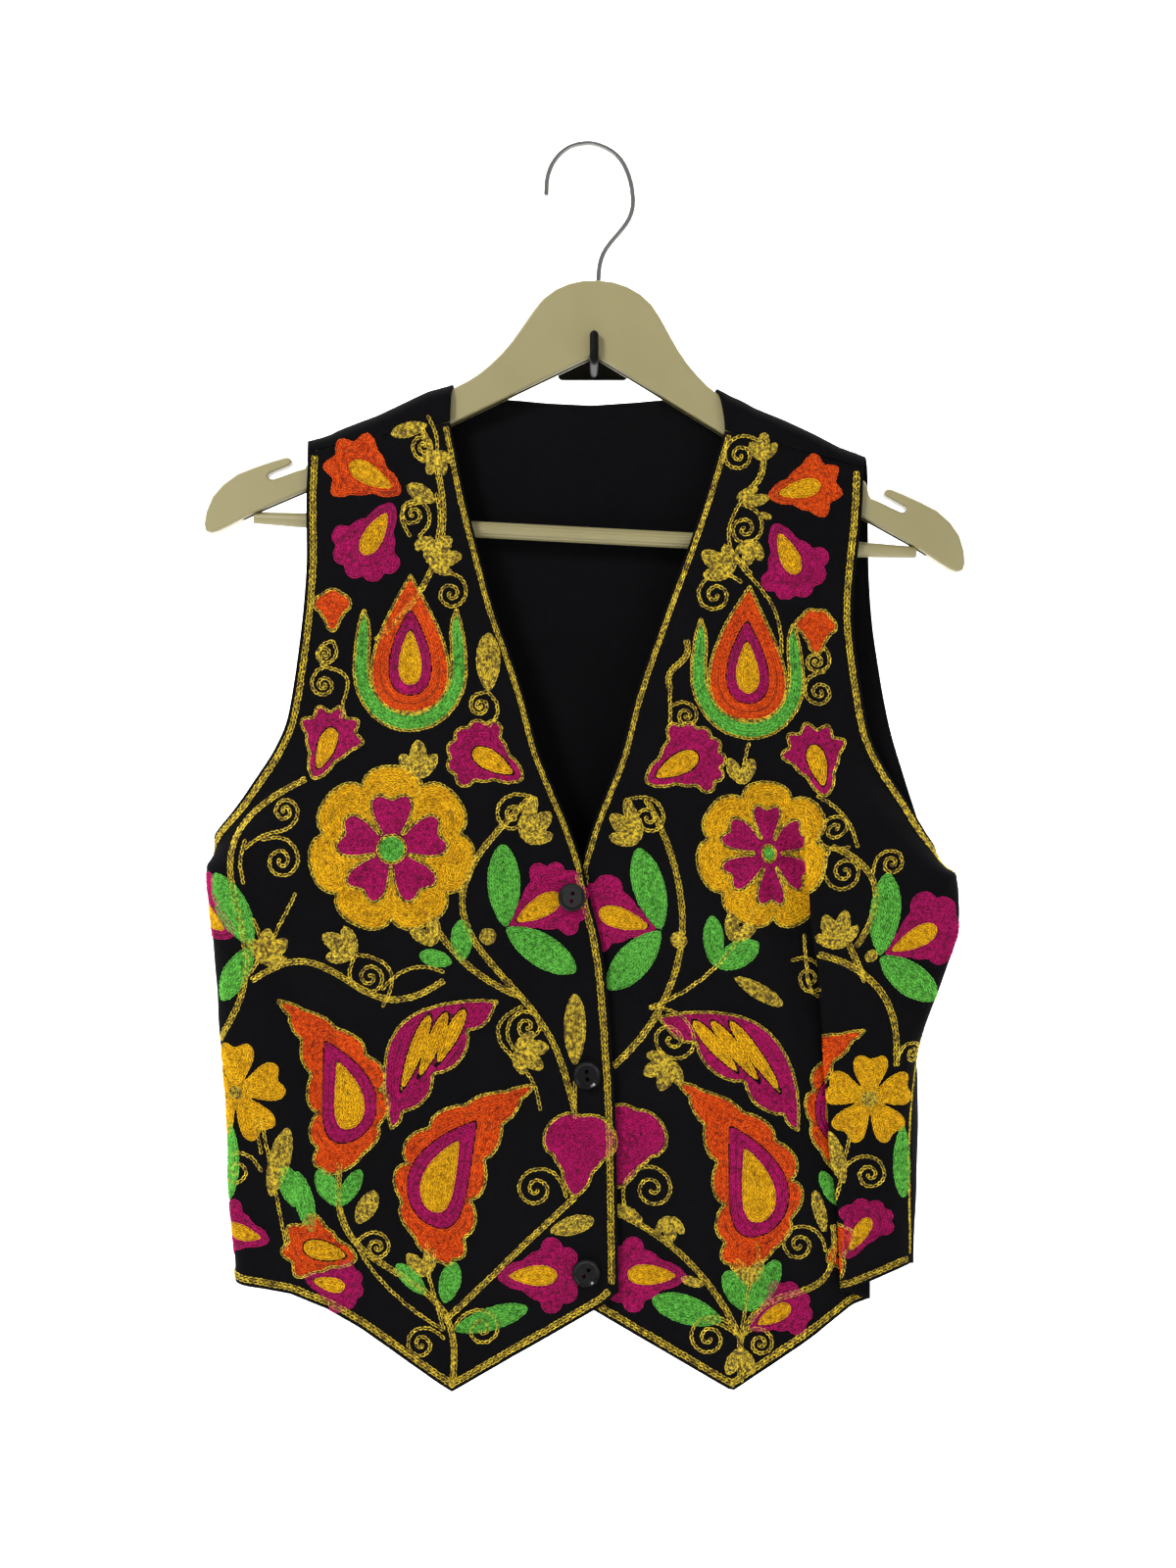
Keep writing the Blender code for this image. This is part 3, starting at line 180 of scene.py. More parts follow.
BACK_COLUMNS = np.array([
    (0.000, 0.000), (0.014, 0.030), (0.032, 0.075), (0.058, 0.125), (0.095, 0.180),
    (0.145, 0.235), (0.215, 0.282), (0.290, 0.335), (0.365, 0.395), (0.435, 0.455),
    (0.505, 0.515), (0.575, 0.572), (0.645, 0.628), (0.715, 0.682), (0.785, 0.712),
    (0.855, 0.765), (0.905, 0.820), (0.942, 0.875), (0.968, 0.925), (0.986, 0.970),
    (1.000, 1.000)])
NECK_CORNER_X = (-81.0, 71.0)

# finer creases: distance and height at the top, the same at the bottom, half width,
# depth (negative is a trough)
RIGHT_CREASES = np.array([
    (196.0, -236.0, 176.0, -330.0, 6.0, 0.9),
    (212.0, -262.0, 206.0, -352.0, 5.0, -0.8),
    (178.0, -352.0, 160.0, -452.0, 7.0, 0.7),
    (84.0, -244.0, 96.0, -322.0, 7.0, -0.6),
    (118.0, -470.0, 104.0, -588.0, 8.0, 0.7),
    (52.0, -430.0, 60.0, -540.0, 6.0, -0.5),
    (206.0, -440.0, 214.0, -545.0, 6.0, 0.8),
    (150.0, -96.0, 142.0, -186.0, 8.0, 0.6)])
LEFT_CREASES = np.array([
    (190.0, -236.0, 178.0, -316.0, 6.0, 0.8),
    (96.0, -360.0, 104.0, -470.0, 6.0, 0.7),
    (60.0, -300.0, 66.0, -392.0, 7.0, -0.6),
    (140.0, -452.0, 134.0, -560.0, 6.0, 0.7),
    (226.0, -372.0, 222.0, -470.0, 5.0, -0.8),
    (210.0, -446.0, 204.0, -536.0, 5.0, 0.7),
    (118.0, -110.0, 126.0, -190.0, 8.0, 0.6)])
BACK_CREASES = np.array([
    (-140.0, -250.0, -112.0, -402.0, 9.0, 1.3),
    (-118.0, -330.0, -104.0, -470.0, 7.0, -1.0),
    (-52.0, -290.0, -44.0, -470.0, 9.0, 0.9),
    (6.0, -120.0, 12.0, -300.0, 12.0, 1.1),
    (40.0, -300.0, 26.0, -500.0, 8.0, -1.0),
    (90.0, -210.0, 98.0, -380.0, 9.0, 1.2),
    (142.0, -250.0, 128.0, -420.0, 8.0, 1.0),
    (150.0, -360.0, 146.0, -500.0, 6.0, -0.8)])



def smooth(table: np.ndarray, at: np.ndarray) -> list:
    """Cubic interpolation of a table's later columns over its first, without overshoot.

    Args:
        table: Rows of a position and its values.
        at: Positions to read.

    Returns:
        One array for each later column.
    """
    rows = table[np.argsort(table[:, 0])]
    xs = rows[:, 0]
    step = np.diff(xs)
    at = np.clip(np.asarray(at, dtype=float), xs[0], xs[-1])
    cell = np.clip(np.searchsorted(xs, at, side="right") - 1, 0, len(xs) - 2)
    t = (at - xs[cell]) / step[cell]
    out = []
    for column in rows.T[1:]:
        slope = np.diff(column) / step
        left, right = slope[:-1], slope[1:]
        same = left * right > 0
        mean = np.where(same, 2 * left * right / np.where(same, left + right, 1.0), 0.0)
        tangent = np.concatenate(([slope[0]], mean, [slope[-1]]))
        start, end = column[cell], column[cell + 1]
        pull_a, pull_b = tangent[cell] * step[cell], tangent[cell + 1] * step[cell]
        out.append((2 * t**3 - 3 * t**2 + 1) * start + (t**3 - 2 * t**2 + t) * pull_a
                   + (3 * t**2 - 2 * t**3) * end + (t**3 - t**2) * pull_b)
    return out


def ease(t: np.ndarray) -> np.ndarray:
    """Smooth step from 0 to 1."""
    t = np.clip(t, 0.0, 1.0)
    return t * t * (3.0 - 2.0 * t)


def edge_at(z: np.ndarray) -> np.ndarray:
    """Distance of a front's outer edge from its centre-front line at height z."""
    return smooth(OUTER_EDGE[:, [2, 1]], z)[0]


def soft_folds(table: np.ndarray, a: np.ndarray, z: np.ndarray) -> np.ndarray:
    """Outward push of soft folds: a bell across each fold, eased in along its length.

    Args:
        table: Folds, by distance and height at the top, the same at the bottom,
            half width and depth.
        a: Distances on the cut.
        z: Heights on the cut.

    Returns:
        The push at each place.
    """
    push = np.zeros(np.broadcast(a, z).shape)
    for top_a, top_z, low_a, low_z, half, depth in table:
        along = (top_z - z) / (top_z - low_z)
        middle = top_a + (low_a - top_a) * along
        ends = ease(along / 0.35) * np.where(low_z < -530.0, 1.0, ease((1.0 - along) / 0.35))
        ends = np.where(along < 0.0, 0.0, ends)
        push += depth * ends * np.exp(-((a - middle) / half) ** 2)
    return push


def front_heading(columns: list, a: np.ndarray, outer: np.ndarray) -> np.ndarray:
    """Direction of a front's horizontal section: 0 is flat, + turns back.

    Args:
        columns: The front's table read at each height.
        a: Distances along the section.
        outer: Distance of the outer edge at each height.

    Returns:
        A slow swell, the turn at the side, and the standing fold where there is one.
    """
    swell, turn, length = columns[2:5]
    heading = -np.radians(swell) * np.sin(2.0 * math.pi * np.clip(a / outer, 0.0, 1.0))
    heading = heading + np.radians(turn) * ease((a - (outer - length)) / length)
    if len(columns) > 5:
        middle, angle, half, recede = columns[6:10]
        bump = ease((half - np.abs(a - middle)) / FOLD_TURN)
        before = a - (middle - half)
        slope = ease((before + RECEDE + RECEDE_EASE) / RECEDE_EASE) * ease(-before / RECEDE_EASE)
        heading = heading - np.radians(angle) * bump + np.radians(recede) * slope
    return heading


def grid_cells(rows: int, columns: int, closed: bool = False) -> np.ndarray:
    """Quads of a grid of rows and columns, joined round when closed."""
    across = columns if closed else columns - 1
    j, i = np.meshgrid(np.arange(rows - 1), np.arange(across), indexing="ij")
    near, far = j * columns + i, j * columns + (i + 1) % columns
    return np.stack([near, far, far + columns, near + columns], -1).reshape(-1, 4)


def new_piece(name: str, verts: np.ndarray, faces: np.ndarray, material: bpy.types.Material,
              flat: np.ndarray | None = None) -> bpy.types.Object:
    """Add one smooth-shaded mesh of quads or triangles, riding on the root body.

    Args:
        name: Piece name.
        verts: Points in millimetres.
        faces: Index rows of one length, or a list of index rows.
        material: Its finish.
        flat: Flat place of each point in millimetres, kept as the UV map in metres.

    Returns:
        The object.
    """
    mesh = bpy.data.meshes.new(name)
    rows = faces.tolist() if isinstance(faces, np.ndarray) else faces
    mesh.from_pydata((np.asarray(verts) * MM).tolist(), [], rows)
    mesh.polygons.foreach_set("use_smooth", np.ones(len(mesh.polygons), bool))
    if flat is not None:
        corner = np.empty(len(mesh.loops), np.int32)
        mesh.loops.foreach_get("vertex_index", corner)
        layer = mesh.uv_layers.new(name="flat")
        layer.data.foreach_set("uv", (flat[corner] * MM).astype(np.float32).ravel())
    mesh.materials.append(material)
    obj = bpy.data.objects.new(name, mesh)
    bpy.context.scene.collection.objects.link(obj)
    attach(obj, "root")
    log.info("%s: %d points", name, len(verts))
    return obj


def cloth_shell(points: np.ndarray, cells: np.ndarray, outward: tuple) -> tuple:
    """Closed shell of the cloth's wall about a middle surface of quads.

    Args:
        points: Middle surface.
        cells: Its quads.
        outward: Rough direction of its face side.

    Returns:
        Points and a list of faces: both skins and the wall round every rim.
    """
    quad = points[cells]
    normal = np.cross(quad[:, 2] - quad[:, 0], quad[:, 3] - quad[:, 1])
    if (normal @ np.asarray(outward)).sum() < 0:
        cells = cells[:, ::-1]
        normal = -normal
    at_vertex = np.zeros_like(points)
    for corner in range(4):
        np.add.at(at_vertex, cells[:, corner], normal)
    at_vertex /= np.linalg.norm(at_vertex, axis=1)[:, None]
    count = len(points)
    verts = np.concatenate([points + at_vertex * WALL / 2, points - at_vertex * WALL / 2])
    edges = np.concatenate([cells[:, [k, (k + 1) % 4]] for k in range(4)])
    keys = edges[:, 0].astype(np.int64) * count + edges[:, 1]
    back_keys = edges[:, 1].astype(np.int64) * count + edges[:, 0]
    rim = edges[~np.isin(keys, back_keys)]
    a, b = rim[:, 0], rim[:, 1]
    walls = np.stack([b, a, a + count, b + count], 1)
    return verts, np.concatenate([cells, cells[:, ::-1] + count, walls])


class Front:
    """One front panel: its flat cut, and the hung surface that the cut lies on."""

    STEP_A = 0.5              # lattice spacing along the cloth
    STEP_Z = 2.0              # lattice spacing up the cloth
    RUN_A = (0.0, 280.0)
    RUN_Z = (-608.0, -36.0)

    def __init__(self, name: str, table: np.ndarray, side: int, folds: np.ndarray,
                 creases: np.ndarray) -> None:
        """Work out the hung surface on a lattice of the flat cut.

        Args:
            name: Piece name.
            table: Section sizes by height.
            side: -1 where distances run to the viewer's left, 1 to the right.
            folds: Soft folds shared with the solid.
            creases: Finer troughs and ridges.
        """
        self.name = name
        self.table = table
        self.side = side
        self.folded = table.shape[1] > 6
        self.a = np.arange(self.RUN_A[0], self.RUN_A[1] + 0.1, self.STEP_A)
        self.z = np.arange(self.RUN_Z[0], self.RUN_Z[1] + 0.1, self.STEP_Z)
        columns = smooth(table, self.z)
        wide = [column[:, None] for column in columns]
        outer = edge_at(self.z)[:, None]
        middle = 0.5 * (self.a[1:] + self.a[:-1])[None, :]
        heading = front_heading(wide, middle, outer)
        start = np.zeros((len(self.z), 1))
        x = wide[0] + side * np.concatenate([start, np.cumsum(np.cos(heading), 1)], 1) * self.STEP_A
        y = wide[1] + np.concatenate([start, np.cumsum(np.sin(heading), 1)], 1) * self.STEP_A
        flat_a, flat_z = np.meshgrid(self.a, self.z)
        last = front_heading(wide, flat_a, outer)
        push = soft_folds(folds, flat_a, flat_z) + soft_folds(creases, flat_a, flat_z)
        push = push * ease((outer - flat_a) / 40.0) * ease((flat_a - LAP_CLEAR) / 30.0)
        x = x + side * np.sin(last) * push
        y = y - np.cos(last) * push
        z = flat_z.copy()
        if self.folded:
            rise, begin, wide_a, top, tall = HEM_LIFT
            z -= wide[5] * flat_a
            z += rise * ease((flat_a - begin) / wide_a) * ease((top - flat_z) / tall)
        self.points = np.stack([x, y + HANG_Y, z], -1)
        self.heading = last
        along = np.gradient(self.points, axis=1)
        up = np.gradient(self.points, axis=0)
        normal = side * np.cross(along, up)
        self.normals = normal / np.linalg.norm(normal, axis=-1)[..., None]

    def place(self, flat: np.ndarray, height: np.ndarray | float) -> np.ndarray:
        """Carry flat places onto the hung surface, by weighting the four lattice corners.

        Args:
            flat: Distances and heights on the cut, last axis of two.
            height: How far each lies outside the cloth's middle surface.

        Returns:
            Points.
        """
        u = np.clip((flat[..., 0] - self.RUN_A[0]) / self.STEP_A, 0, len(self.a) - 1.001)
        v = np.clip((flat[..., 1] - self.RUN_Z[0]) / self.STEP_Z, 0, len(self.z) - 1.001)
        i, j = u.astype(int), v.astype(int)
        u, v = (u - i)[..., None], (v - j)[..., None]

        def read(grid: np.ndarray) -> np.ndarray:
            """Blend of the four corners of each cell."""
            low = grid[j, i] * (1 - u) + grid[j, i + 1] * u
            high = grid[j + 1, i] * (1 - u) + grid[j + 1, i + 1] * u
            return low * (1 - v) + high * v

        return read(self.points) + read(self.normals) * np.asarray(height)[..., None]

    def cut(self, v: np.ndarray, shares: np.ndarray) -> tuple:
        """Distances and heights of the flat cut at row values and column shares."""
        outer_a, outer_z = smooth(OUTER_EDGE, v)
        inner_z = np.interp(v, [0.0, UNDERARM, 1.0],
                            [INNER_EDGE[0, 0], -301.9, INNER_EDGE[-1, 0]])
        inner_a = smooth(INNER_EDGE, inner_z)[0]
        if self.folded:
            middle, _, half = smooth(self.table, 0.35 * inner_z + 0.65 * outer_z)[6:9]
            turned = np.minimum(FOLD_TURN, half)
            knots = np.stack([inner_a, middle - half, middle - half + turned,
                              middle + half - turned, middle + half, outer_a], 1)
            a = np.stack([np.interp(shares, FOLD_SHARES, row) for row in knots])
        else:
            a = inner_a[:, None] + (outer_a - inner_a)[:, None] * shares
        across = (a - inner_a[:, None]) / (outer_a - inner_a)[:, None]
        z = inner_z[:, None] + (outer_z - inner_z)[:, None] * across
        hem_z = np.interp(a[0], HEM[:, 0], HEM[:, 1])
        reach = np.clip(1.0 - v / UNDERARM, 0.0, 1.0) ** HEM_REACH
        return a, z + reach[:, None] * (hem_z - z[0])[None, :]

    def seam(self, v: np.ndarray) -> tuple:
        """Points just past the side edge, and the direction the cloth is heading there."""
        a, z = smooth(OUTER_EDGE, v)
        flat = np.stack([a, z], -1)
        points = self.place(flat, 0.0)
        before = self.place(flat - (0.6, 0.0), 0.0)
        ahead = (points - before) * (1.0, 1.0, 0.0)
        ahead /= np.linalg.norm(ahead, axis=1)[:, None]
        return points + ahead * SEAM_GAP, ahead

    def build(self, cloth: bpy.types.Material) -> bpy.types.Object:
        """Make the panel: a thin closed shell on the cut's rows and columns."""
        v = np.concatenate([np.linspace(0.0, UNDERARM, 84), np.linspace(UNDERARM, 1.0, 80)[1:]])
        if self.folded:
            counts = (58, 14, 12, 14, 34)
            runs = [np.linspace(FOLD_SHARES[k], FOLD_SHARES[k + 1], n + 1)[:-1]
                    for k, n in enumerate(counts)]
            shares = np.concatenate(runs + [[1.0]])
        else:
            shares = np.concatenate([np.linspace(0, 0.74, 76)[:-1], np.linspace(0.74, 1.0, 48)])
        a, z = self.cut(v, shares)
        flat = np.stack([a, z], -1).reshape(-1, 2)
        self.top_row = self.place(np.stack([a[-1], z[-1]], -1), 0.0)
        verts, faces = cloth_shell(self.place(flat, 0.0), grid_cells(*a.shape), (0.0, -1.0, 0.0))
        panel = new_piece("cloth_" + self.name, verts, faces, cloth, np.tile(flat, (2, 1)))
        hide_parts(self.name)
        return panel


def spline(controls: np.ndarray, at: np.ndarray) -> np.ndarray:
    """Clamped cubic B-spline through stacked control points at arc-length shares."""
    count = controls.shape[-2]
    knots = np.concatenate([np.zeros(3), np.linspace(0, 1, count - 2), np.ones(3)])
    t = np.linspace(0.0, 1.0, 241)
    basis = [((t >= knots[i]) & (t < knots[i + 1])).astype(float) for i in range(len(knots) - 1)]
    basis[count - 1][-1] = 1.0
    for degree in range(1, 4):
        raised = []
        for i in range(len(basis) - 1):
            low, high = knots[i + degree] - knots[i], knots[i + degree + 1] - knots[i + 1]
            first = (t - knots[i]) / low * basis[i] if low > 0 else 0.0 * t
            second = (knots[i + degree + 1] - t) / high * basis[i + 1] if high > 0 else 0.0 * t
            raised.append(first + second)
        basis = raised
    curve = np.stack(basis, 1)[:, :count] @ controls
    length = np.concatenate([[0.0], np.cumsum(np.linalg.norm(np.diff(curve, axis=0), axis=1))])
    want = at * length[-1]
    return np.stack([np.interp(want, length, curve[:, k]) for k in range(curve.shape[1])], 1)


@dataclass
class Back:
    """The back panel with its two straps turned over the hanger to the front seams."""

    right: Front
    left: Front
    finer: int = 6            # columns for each column of the solid
    rows_side: int = 54
    rows_arm: int = 54
    rows_wrap: int = 22
    neck: tuple = (6, 14)     # the solid's columns at the neck corners

    def row(self, start: np.ndarray, start_dir: np.ndarray, end: np.ndarray,
            end_dir: np.ndarray, shares: np.ndarray, reach: tuple) -> np.ndarray:
        """One horizontal row of the back between two edges, matching their directions."""
        low, middle, high = smooth(BACK_DEPTH, 0.5 * (start[2] + end[2]))
        span = end[0] - start[0]
        controls = np.array([
            start[:2], start[:2] + start_dir[:2] * reach[0],
            (start[0] + 0.16 * span, low), (start[0] + 0.34 * span, low),
            (start[0] + 0.50 * span, middle), (start[0] + 0.66 * span, high),
            (start[0] + 0.84 * span, high), end[:2] + end_dir[:2] * reach[1], end[:2]])
        return spline(controls, shares)

    def strap_path(self, seam: np.ndarray, start_x: float, lift: float,
                   q: np.ndarray) -> np.ndarray:
        """One column where the back turns over the arm: an arc, then straight down."""
        x = start_x + (seam[0] - start_x) * ease(q)
        centre = np.interp(x, SHOULDER_TOP[:, 0], SHOULDER_TOP[:, 1]) - WRAP_R - WALL / 2
        first = WRAP_R * lift
        last_centre = np.interp(seam[0], SHOULDER_TOP[:, 0], SHOULDER_TOP[:, 1]) \
            - WRAP_R - WALL / 2
        last = WRAP_R * math.pi + max(last_centre - seam[2], 0.0)
        length = first + (last - first) * q
        angle = np.minimum(length / WRAP_R, math.pi)
        y = WRAP_R * np.cos(angle)
        z = centre + WRAP_R * np.sin(angle) - np.maximum(length - WRAP_R * math.pi, 0.0)
        end = np.array([0.0, seam[1] - y[-1], seam[2] - z[-1]])
        return np.stack([x, y, z], -1) + end * ease(q)[:, None]

    def body_grid(self, low: np.ndarray, high: np.ndarray, first: int, last: int) -> tuple:
        """Grid of the back from hem to neckline, with the turn already begun at the straps."""
        hang = np.array([0.0, HANG_Y, 0.0])
        v = np.linspace(0.0, UNDERARM, self.rows_side)
        starts, start_dirs = self.right.seam(v)
        ends, end_dirs = self.left.seam(v)
        starts, ends = starts - hang, ends - hang
        rows, heights = [], []
        for j, share in enumerate(v / UNDERARM):
            reach = smooth(BACK_REACH, ends[j, 2])
            rows.append(self.row(starts[j], start_dirs[j], ends[j], end_dirs[j], low, reach))
            z = starts[j, 2] + (ends[j, 2] - starts[j, 2]) * low
            heights.append(z - BACK_HEM_SAG * (1.0 - share) ** 2 * np.sin(math.pi * low) ** 0.5)
        under = heights[-1]
        top_x = np.concatenate([
            np.interp(high[:first + 1], (0.0, high[first]),
                      (BACK_ARM_RIGHT_SIDE[-1, 1], NECK_CORNER_X[0])),
            np.interp(high[first:last + 1], high[[first, last]], NECK_CORNER_X)[1:],
            np.interp(high[last:], (high[last], 1.0),
                      (NECK_CORNER_X[1], BACK_ARM_LEFT_SIDE[-1, 1]))[1:]])
        lift = np.zeros(len(top_x))
        lift[:first + 1] = NECK_RISE * math.pi / 2 * ease(np.linspace(0, 1, first + 1))
        lift[last:] = NECK_RISE * math.pi / 2 * ease(np.linspace(1, 0, len(top_x) - last))
        crown = np.interp(top_x, SHOULDER_TOP[:, 0], SHOULDER_TOP[:, 1]) - WRAP_R - WALL / 2
        top_z = crown + WRAP_R * np.sin(lift)
        neck = slice(first, last + 1)
        corner_a, corner_b = top_z[first], top_z[last]
        line = np.interp(top_x[neck], NECKLINE[:, 0], NECKLINE[:, 1])
        t = np.linspace(0.0, 1.0, last - first + 1)
        near = (1.0 - ease(t / 0.22)), ease((t - 0.78) / 0.22)
        top_z[neck] = line + near[0] * (corner_a - line[0]) + near[1] * (corner_b - line[-1])
        top_y = np.full(len(top_x), WRAP_R) * np.cos(lift)
        middle = 0.5 + 0.5 * np.cos(math.pi * np.clip(np.abs(t - 0.5) / 0.5, 0, 1))
        top_y[neck] = WRAP_R * math.cos(lift[first]) * (1 - middle) + 8.8 * middle
        across = np.array([1.0, 0.0, 0.0])
        for w in np.linspace(0.0, 1.0, self.rows_arm + 1)[1:]:
            start = np.array([value[0] for value in smooth(BACK_ARM_RIGHT_SIDE, [w])])
            end = np.array([value[0] for value in smooth(BACK_ARM_LEFT_SIDE, [w])])
            if w < BACK_ARM_RIGHT_SIDE[0, 0]:
                mix = w / BACK_ARM_RIGHT_SIDE[0, 0]
                start = starts[-1] + (start - starts[-1]) * mix
                end = ends[-1] + (end - ends[-1]) * mix
            share = low + (high - low) * w
            row = self.row(start, across, end, -across, share, (12.0, 12.0))
            edge = start[2] + (end[2] - start[2]) * share
            z = under + (top_z - under) * w
            pull = np.maximum(ease(1 - share / 0.24), ease((share - 0.76) / 0.24)) * (1 - w) ** 0.5
            z = z + (edge - z) * pull
            z[0], z[-1] = start[2], end[2]
            settle = ease((w - 0.55) / 0.45)
            row[:, 0] += (top_x - row[:, 0]) * settle
            row[:, 1] += (top_y - row[:, 1]) * settle
            rows.append(row)
            heights.append(z)
        rows[-1] = np.stack([top_x, top_y], 1)
        heights[-1] = top_z
        return np.concatenate([np.stack(rows), np.stack(heights)[..., None]], -1), top_x, lift

    def build(self, cloth: bpy.types.Material) -> bpy.types.Object:
        """Make the panel: a thin closed shell over the body grid and both straps."""
        solid = np.arange(len(BACK_COLUMNS))
        fine = np.linspace(0, solid[-1], solid[-1] * self.finer + 1)
        low, high = (np.interp(fine, solid, column) for column in BACK_COLUMNS.T)
        first, last = (n * self.finer for n in self.neck)
        grid, top_x, lift = self.body_grid(low, high, first, last)
        push = soft_folds(BACK_SOFT_FOLDS, grid[..., 0], grid[..., 2])
        push += soft_folds(BACK_CREASES, grid[..., 0], grid[..., 2])
        inside = ease(np.minimum(low, 1 - low) / SIDE_CLEAR)
        grid[..., 1] += push * inside[None, :]
        count = grid.shape[1]
        points, cells = [grid.reshape(-1, 3)], [grid_cells(grid.shape[0], count)]
        base = (grid.shape[0] - 1) * count
        total = grid.shape[0] * count
        q = np.linspace(0.0, 1.0, self.rows_wrap + 1)
        for begin, stop, front, order in ((0, first, self.right, -1),
                                          (last, count - 1, self.left, 1)):
            number = stop - begin + 1
            share = (top_x[begin:stop + 1] - top_x[begin]) / (top_x[stop] - top_x[begin])
            seam = front.top_row[::order] - (0.0, HANG_Y, 0.0)
            run = (seam[:, 0] - seam[0, 0]) / (seam[-1, 0] - seam[0, 0])
            seam_at = np.stack([np.interp(share, run, seam[:, k]) for k in range(3)], 1)
            seam_at[:, 2] += SEAM_GAP + 0.1
            path = np.stack([self.strap_path(seam_at[i], top_x[begin + i], lift[begin + i], q)
                             for i in range(number)], 1)
            points.append(path[1:].reshape(-1, 3))
            index = np.concatenate([[base + begin + np.arange(number)],
                                    total + np.arange(self.rows_wrap * number).reshape(-1, number)])
            cells.append(np.stack([index[:-1, :-1], index[:-1, 1:], index[1:, 1:],
                                   index[1:, :-1]], -1).reshape(-1, 4))
            total += self.rows_wrap * number
        middle = np.concatenate(points)
        cells = np.concatenate(cells)
        middle[:, 1] += HANG_Y
        verts, faces = cloth_shell(middle, cells, (0.0, 1.0, 0.0))
        over = np.maximum(middle[:, 1] - HANG_Y - WRAP_R, -2 * WRAP_R)
        flat = np.stack([middle[:, 0], middle[:, 2] - np.minimum(over, 0.0)], 1)
        panel = new_piece("cloth_back", verts, faces, cloth, np.tile(flat, (2, 1)))
        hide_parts("back")
        return panel


class Thread(Enum):
    """Embroidery thread colours, by the name of their pieces."""

    MAGENTA = "magenta"
    ORANGE = "orange"
    YELLOW = "yellow"
    GREEN = "green"
    GOLD = "gold"


class Turned(Enum):
    """Which edge of a petal is scalloped."""

    BOTH = 0
    LEFT = 1
    RIGHT = -1


def axis_frame(base: tuple, tip: tuple) -> tuple:
    """Start, length, direction and left-hand direction of the line from base to tip."""
    start = np.array(base, dtype=float)
    run = np.array(tip, dtype=float) - start
    length = float(np.hypot(*run))
    along = run / length
    return start, length, along, np.array([-along[1], along[0]])


@dataclass(frozen=True)
class Petal:
    """A drop, leaf or paisley between a base and a tip.

    Half width is a power of the way from the base times a power of the way to the
    tip; the spine is bent sideways, and the outline may be scalloped.
    """

    thread: Thread
    base: tuple
    tip: tuple
    width: float
    near: float = 0.5         # power at the base: 0.5 is round, 1 is pointed
    far: float = 1.0          # power at the tip
    bend: float = 0.0         # sideways push of the spine's middle, to the left
    lobes: int = 0
    depth: float = 0.0
    turned: Turned = Turned.BOTH

    def outline(self) -> np.ndarray:
        """Closed outline, up the right edge and down the left."""
        start, length, along, left = axis_frame(self.base, self.tip)
        turn = np.linspace(0.0, 2.0 * math.pi, 160, endpoint=False)
        s = 0.5 - 0.5 * np.cos(turn)
        side = np.where(turn < math.pi, -1.0, 1.0)
        peak = self.near / (self.near + self.far)
        top = peak**self.near * (1 - peak) ** self.far
        half = 0.5 * self.width * s**self.near * (1 - s) ** self.far / top
        if self.lobes:
            wave = np.abs(np.sin(self.lobes * turn / 2.0)) ** 0.5
            if self.turned is not Turned.BOTH:
                wave = np.where(side == self.turned.value, wave, 0.7)
            half = half - self.depth * (1.0 - wave) * np.clip(half / (0.38 * self.width), 0, 1)
        across = side * half + 4.0 * self.bend * s * (1.0 - s)
        return start + along * (s * length)[:, None] + left * across[:, None]


@dataclass(frozen=True)
class Bloom:
    """A flower head or heart: an oval core with lobes that reach to given tips.

    The radius is the core's, raised towards each tip by one less a power of the
    angle from it, so a power of one makes a point and two or more a round lobe.
    """

    thread: Thread
    centre: tuple
    core: tuple
    lobes: tuple              # each: tip, half width (degrees), power, and any cleft at the tip

    def outline(self) -> np.ndarray:
        """Closed outline round the centre."""
        turn = np.linspace(0.0, 2.0 * math.pi, 240, endpoint=False)
        wide, tall = self.core
        base = wide * tall / np.hypot(tall * np.cos(turn), wide * np.sin(turn))
        radius = base.copy()
        for u, h, half, power, *cleft in self.lobes:
            du, dh = u - self.centre[0], h - self.centre[1]
            reach = math.hypot(du, dh)
            off = np.abs((turn - math.atan2(dh, du) + math.pi) % (2 * math.pi) - math.pi)
            lift = np.clip(1.0 - (off / math.radians(half)) ** power, 0.0, 1.0)
            lift = lift ** (0.6 if power > 1.4 else 1.0)
            if cleft:
                notch = np.clip(1.0 - off / math.radians(0.42 * half), 0.0, 1.0)
                lift = lift * (1.0 - cleft[0] * notch)
            radius = np.maximum(radius, base + (reach - base) * lift)
        return np.array(self.centre) + radius[:, None] * np.stack([np.cos(turn), np.sin(turn)], 1)


@dataclass(frozen=True)
class Cup:
    """A crescent holding a flower: an oval band open at the top, thinning to its tips."""

    thread: Thread
    centre: tuple
    wide: float
    low: float
    high: float
    open_at: float            # angle of each tip from straight down, degrees
    band: float

    def outline(self) -> np.ndarray:
        """Closed outline: outer oval from tip to tip, then back along the inner one."""
        t = np.linspace(-1.0, 1.0, 90)
        turn = np.radians(self.open_at) * t
        tall = np.where(np.abs(turn) > math.pi / 2, self.high, self.low)
        thick = self.band * (1.0 - 0.25 * t**2) * (1.0 - np.abs(t) ** 24)
        outer = np.stack([self.wide * np.sin(turn), -tall * np.cos(turn)], 1)
        inner = np.stack([(self.wide - thick) * np.sin(turn),
                          -(tall - thick) * np.cos(turn)], 1)
        return np.array(self.centre) + np.concatenate([outer, inner[::-1]])


@dataclass(frozen=True)
class Figure:
    """Fills laid one inside another; each later one is left clear by those before it."""

    fills: tuple
    edged: tuple = ()         # which fills have a gold row along their edge


@dataclass(frozen=True)
class Stem:
    """Chain rows along a smooth line through points, side by side."""

    points: tuple
    rows: int = 1


